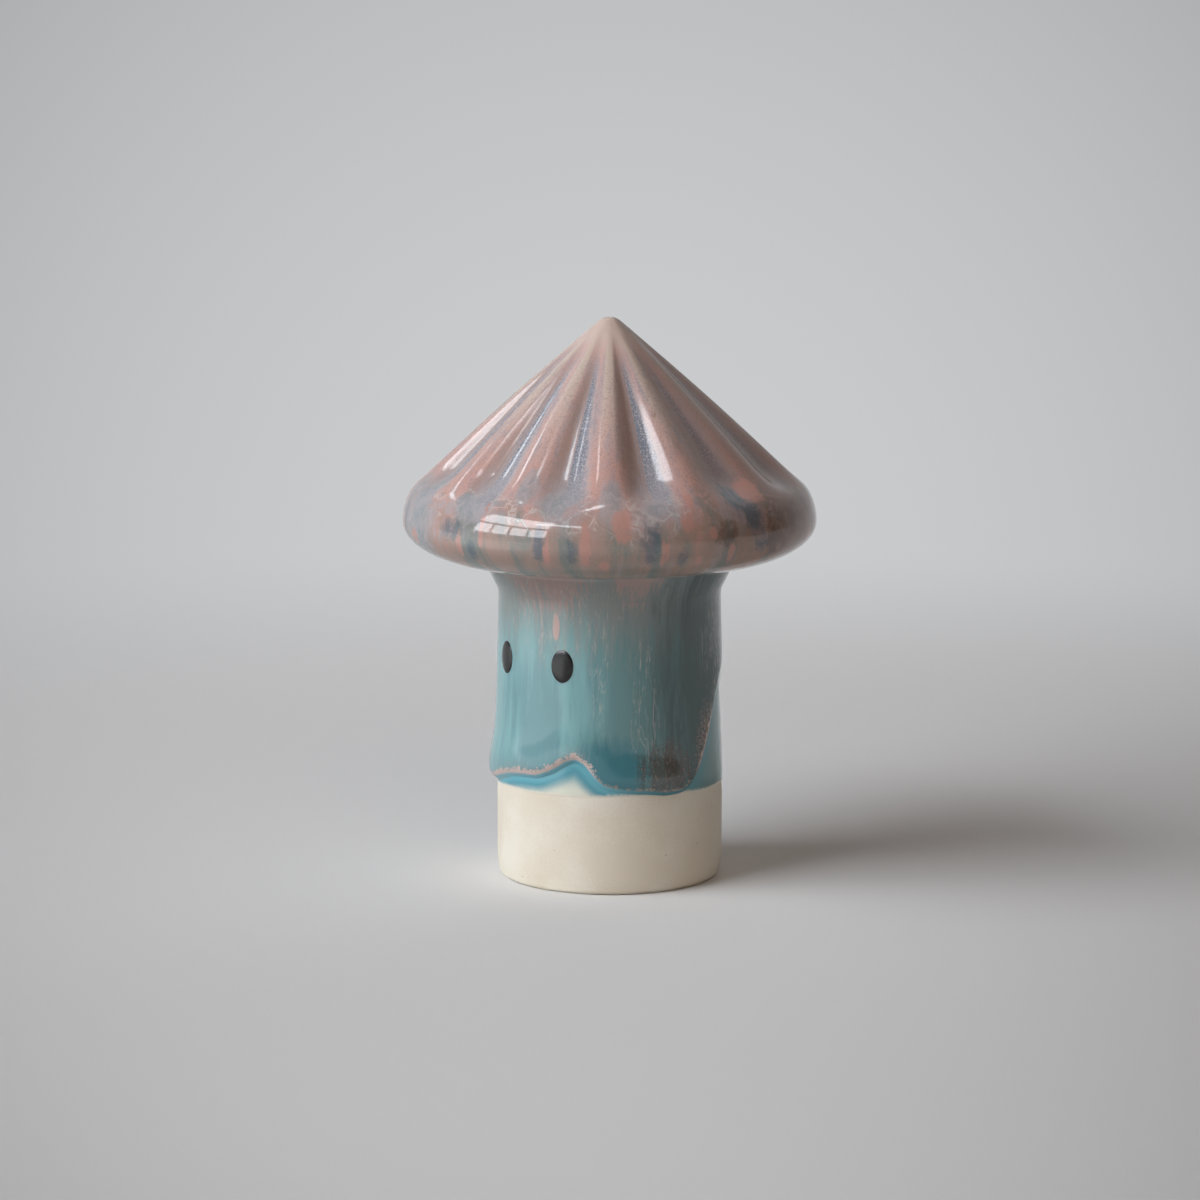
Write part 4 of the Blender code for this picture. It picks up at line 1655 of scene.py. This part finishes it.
@dataclass(frozen=True)
class Studio:
    """Floor, lamps, sky and camera.

    Lengths on the floor and the ends of the camera's sight are in metres. A span gives where a change starts
    and where it is complete: on the floor in metres, in the sky in parts of a unit vector.
    """

    camera_distance: float = 600.0
    camera_height: float = 138.0
    aim_height: float = 39.5
    focal_pixels: float = 4265.0
    axis_pixel: float = 609.6
    image_pixels: float = 1200.0
    sensor: float = 36.0
    sight: Span = (0.01, 100.0)
    floor_radius: float = 9.0
    floor_sides: int = 96
    floor: Colour = srgb(231, 231, 231)
    far: Colour = srgb(203, 204, 206)
    corner_loss: Point = (0.15, 0.13)
    most_loss: float = 1.2
    least_depth: float = 0.5
    fade: Span = (0.10, 0.32)
    mirror_fade: Span = (0.05, 0.14)
    fill_low: Colour = (0.06, 0.043, 0.03, 1.0)
    fill_high: Colour = (0.10, 0.085, 0.075, 1.0)
    fill_rise: Span = (0.1, 0.8)
    backdrop: Colour = srgb(198, 199, 200)
    backdrop_share: float = 0.9
    backdrop_fade: Span = (0.1, 0.6)
    window_wall: Colour = srgb(232, 236, 240)
    wall_fade: Span = (0.5, 0.9)
    wall_top: Span = (0.3, 0.12)
    sunlit: Colour = srgb(252, 254, 255)
    sun: float = 1.9
    sun_edge: float = -41.0
    sun_edge_fade: Span = (0.0, 0.012)
    sun_end: float = -112.0
    sun_end_fade: Span = (0.0, 0.12)
    sun_near_fade: Span = (0.08, 0.14)
    pane_columns: int = 4
    pane_rows: int = 2
    pane_place: Point = (-75.0, 17.0)
    pane_pitch: Point = (11.5, 15.5)
    pane_size: Point = (9.6, 13.0)
    pane_brightness: float = 8.5
    key: tuple[float, float, float] = (0.96, 1.0, 1.05)
    warm: tuple[float, float, float] = (1.25, 0.95, 0.7)

    def lamps(self) -> list[Lamp]:
        """Lists the lamps.

        Returns:
            The window's soft light, the light of the room, and the windows and panes that the gloss shows.
        """
        lamps = [
            Lamp("window_light", -65.0, 34.0, 46.0, 34.0, 6.2, self.key, on_gloss=False),
            Lamp("room_front", 8.0, 33.0, 40.0, 26.0, 0.8, self.warm, on_gloss=False),
            Lamp("room_back", 165.0, 24.0, 60.0, 34.0, 0.8, self.key, on_gloss=False),
            Lamp("sill", -31.0, 34.0, 24.0, 3.0, 8.0, self.key, on_matt=False),
            Lamp("left_window", -94.0, 63.5, 5.0, 3.5, 7.0, self.key, on_matt=False),
            Lamp("far_window", -128.5, 37.5, 8.5, 5.5, 5.5, self.key, on_matt=False),
            Lamp("roof_window", -38.0, 76.5, 8.0, 7.0, 9.5, self.key, on_matt=False),
        ]
        for column in range(self.pane_columns):
            for row in range(self.pane_rows):
                name = f"pane_{column}_{row}"
                azimuth = self.pane_place[0] + self.pane_pitch[0] * column
                elevation = self.pane_place[1] + self.pane_pitch[1] * row
                size = (*self.pane_size, self.pane_brightness)
                lamps.append(Lamp(name, azimuth, elevation, *size, self.key, on_matt=False))
        return lamps

    def build_camera(self) -> None:
        """Sets the camera at the photographer's place."""
        camera = bpy.data.cameras.new("camera")
        camera.sensor_width = self.sensor
        camera.lens = self.focal_pixels * self.sensor / self.image_pixels
        camera.shift_x = (self.image_pixels / 2.0 - self.axis_pixel) / self.image_pixels
        camera.clip_start, camera.clip_end = self.sight
        stand = bpy.data.objects.new("camera", camera)
        away = direction(0.0, 0.0) * (self.camera_distance * MM)
        stand.location = away + Vector((0.0, 0.0, self.camera_height * MM))
        aim = Vector((0.0, 0.0, self.aim_height * MM)) - stand.location
        stand.rotation_euler = aim.to_track_quat("-Z", "Y").to_euler()
        bpy.context.scene.collection.objects.link(stand)
        bpy.context.scene.camera = stand

    def falloff(self, paint: Paint, place: Value) -> Value:
        """Share of the light that is left on the floor towards the corners of the picture.

        Args:
            paint: The floor's tree.
            place: Place on the floor in metres.

        Returns:
            A share, 1 in the middle.
        """
        towards = direction(0.0, 0.0)
        sideways = direction(90.0, 0.0)
        reach = self.camera_distance * MM
        depth = paint.greatest(reach - paint.dot(place, towards), reach * self.least_depth)
        half = self.image_pixels / 2.0 / self.focal_pixels
        pitch = (self.camera_height - self.aim_height) / self.camera_distance
        across = paint.dot(place, sideways) / depth / half
        down = (self.camera_height * MM / depth - pitch) / half
        loss = across * across * self.corner_loss[0] + down * down * self.corner_loss[1]
        return 1.0 - paint.math("MINIMUM", loss, sum(self.corner_loss) * self.most_loss)

    def floor_paint(self) -> bpy.types.Material:
        """Makes the floor's material: matt near the figurine, and glowing like the backdrop further off.

        Returns:
            The material, with a sunlit stretch that shows in the gloss alone.
        """
        paint = Paint("floor_paint")
        place = paint.read(paint.node("ShaderNodeTexCoord"), "Object")
        away = paint.length(place)
        rays = paint.node("ShaderNodeLightPath")
        glossy = paint.read(rays, "Is Glossy Ray")
        seen = paint.greatest(paint.read(rays, "Is Camera Ray"), glossy)
        seen = paint.greatest(seen, paint.read(rays, "Is Transmission Ray"))
        left = self.falloff(paint, place)
        near = paint.mix(left, BLACK, self.floor)
        far = paint.mix(paint.greatest(left, glossy), BLACK, self.far)
        matt = paint.read(paint.node("ShaderNodeBsdfDiffuse", inputs={"Color": near}))
        glow = paint.read(paint.node("ShaderNodeEmission", inputs={"Color": far}))
        mirrored = paint.step(away, *self.mirror_fade) * glossy
        share = paint.greatest(paint.step(away, *self.fade) * seen, mirrored)
        mixed = paint.read(paint.node("ShaderNodeMixShader", inputs={0: share, 1: matt, 2: glow}))
        past_edge = paint.dot(place, direction(self.sun_edge - 90.0, 0.0))
        before_end = paint.dot(place, direction(self.sun_end + 90.0, 0.0))
        sunny = paint.step(past_edge, *self.sun_edge_fade) * paint.step(away, *self.sun_near_fade)
        sunny = sunny * paint.step(before_end, *self.sun_end_fade)
        sun = paint.node("ShaderNodeEmission", inputs={"Color": self.sunlit, "Strength": self.sun})
        shaders = {0: sunny * glossy, 1: mixed, 2: paint.read(sun)}
        lit = paint.read(paint.node("ShaderNodeMixShader", inputs=shaders))
        paint.node("ShaderNodeOutputMaterial", inputs={"Surface": lit})
        return paint.material

    def build_floor(self) -> None:
        """Lays a pale floor whose far part fades into the backdrop."""
        sides = self.floor_sides
        turns = np.arange(sides) * 2.0 * math.pi / sides
        rim = np.stack([np.cos(turns), np.sin(turns), np.zeros(sides)], axis=-1) * self.floor_radius
        mesh = bpy.data.meshes.new("floor")
        mesh.from_pydata(rim.tolist(), [], [tuple(range(sides))])
        mesh.materials.append(self.floor_paint())
        floor = bpy.data.objects.new("floor", mesh)
        bpy.context.scene.collection.objects.link(floor)

    def build_sky(self) -> None:
        """Makes the soft light of the room, and the backdrop that the camera and the gloss see."""
        world = bpy.data.worlds.new("room")
        world.use_nodes = True
        graph = Graph(world.node_tree)
        graph.tree.nodes.clear()
        rays = graph.node("ShaderNodeLightPath")
        glossy = graph.read(rays, "Is Glossy Ray")
        towards = graph.read(graph.node("ShaderNodeTexCoord"), "Generated")
        _, _, up = graph.separate(towards)
        room = graph.mix(graph.step(up, *self.fill_rise), self.fill_low, self.fill_high)
        behind = graph.step(graph.dot(towards, direction(180.0, 0.0)), *self.backdrop_fade)
        room = graph.mix(behind * glossy * self.backdrop_share, room, self.backdrop)
        sun_middle = (self.sun_edge + self.sun_end) / 2.0
        beside = graph.step(graph.dot(towards, direction(sun_middle, 0.0)), *self.wall_fade)
        wall = beside * graph.step(up, *self.wall_top)
        room = graph.mix(wall * glossy, room, self.window_wall)
        colour = graph.mix(graph.read(rays, "Is Camera Ray"), room, self.backdrop)
        light = graph.read(graph.node("ShaderNodeBackground", inputs={"Color": colour}))
        graph.node("ShaderNodeOutputWorld", inputs={"Surface": light})
        bpy.context.scene.world = world

    def build(self) -> None:
        """Makes the whole studio."""
        self.build_camera()
        self.build_floor()
        self.build_sky()
        for lamp in self.lamps():
            lamp.build()
        bpy.context.scene.view_settings.view_transform = "Standard"


def main() -> None:
    """Builds the figurine's pieces and the studio, in order."""
    logging.basicConfig(level=logging.INFO, format="%(name)s: %(message)s")
    clay = BareClay()
    stem = Stem()
    stem.build(clay, LightBlueGlaze(), TealGlaze())
    Cap().build(clay, RoseGlaze())
    Eyes().build(stem, DarkEnamel())
    Studio().build()


if __name__ == "__main__":
    main()
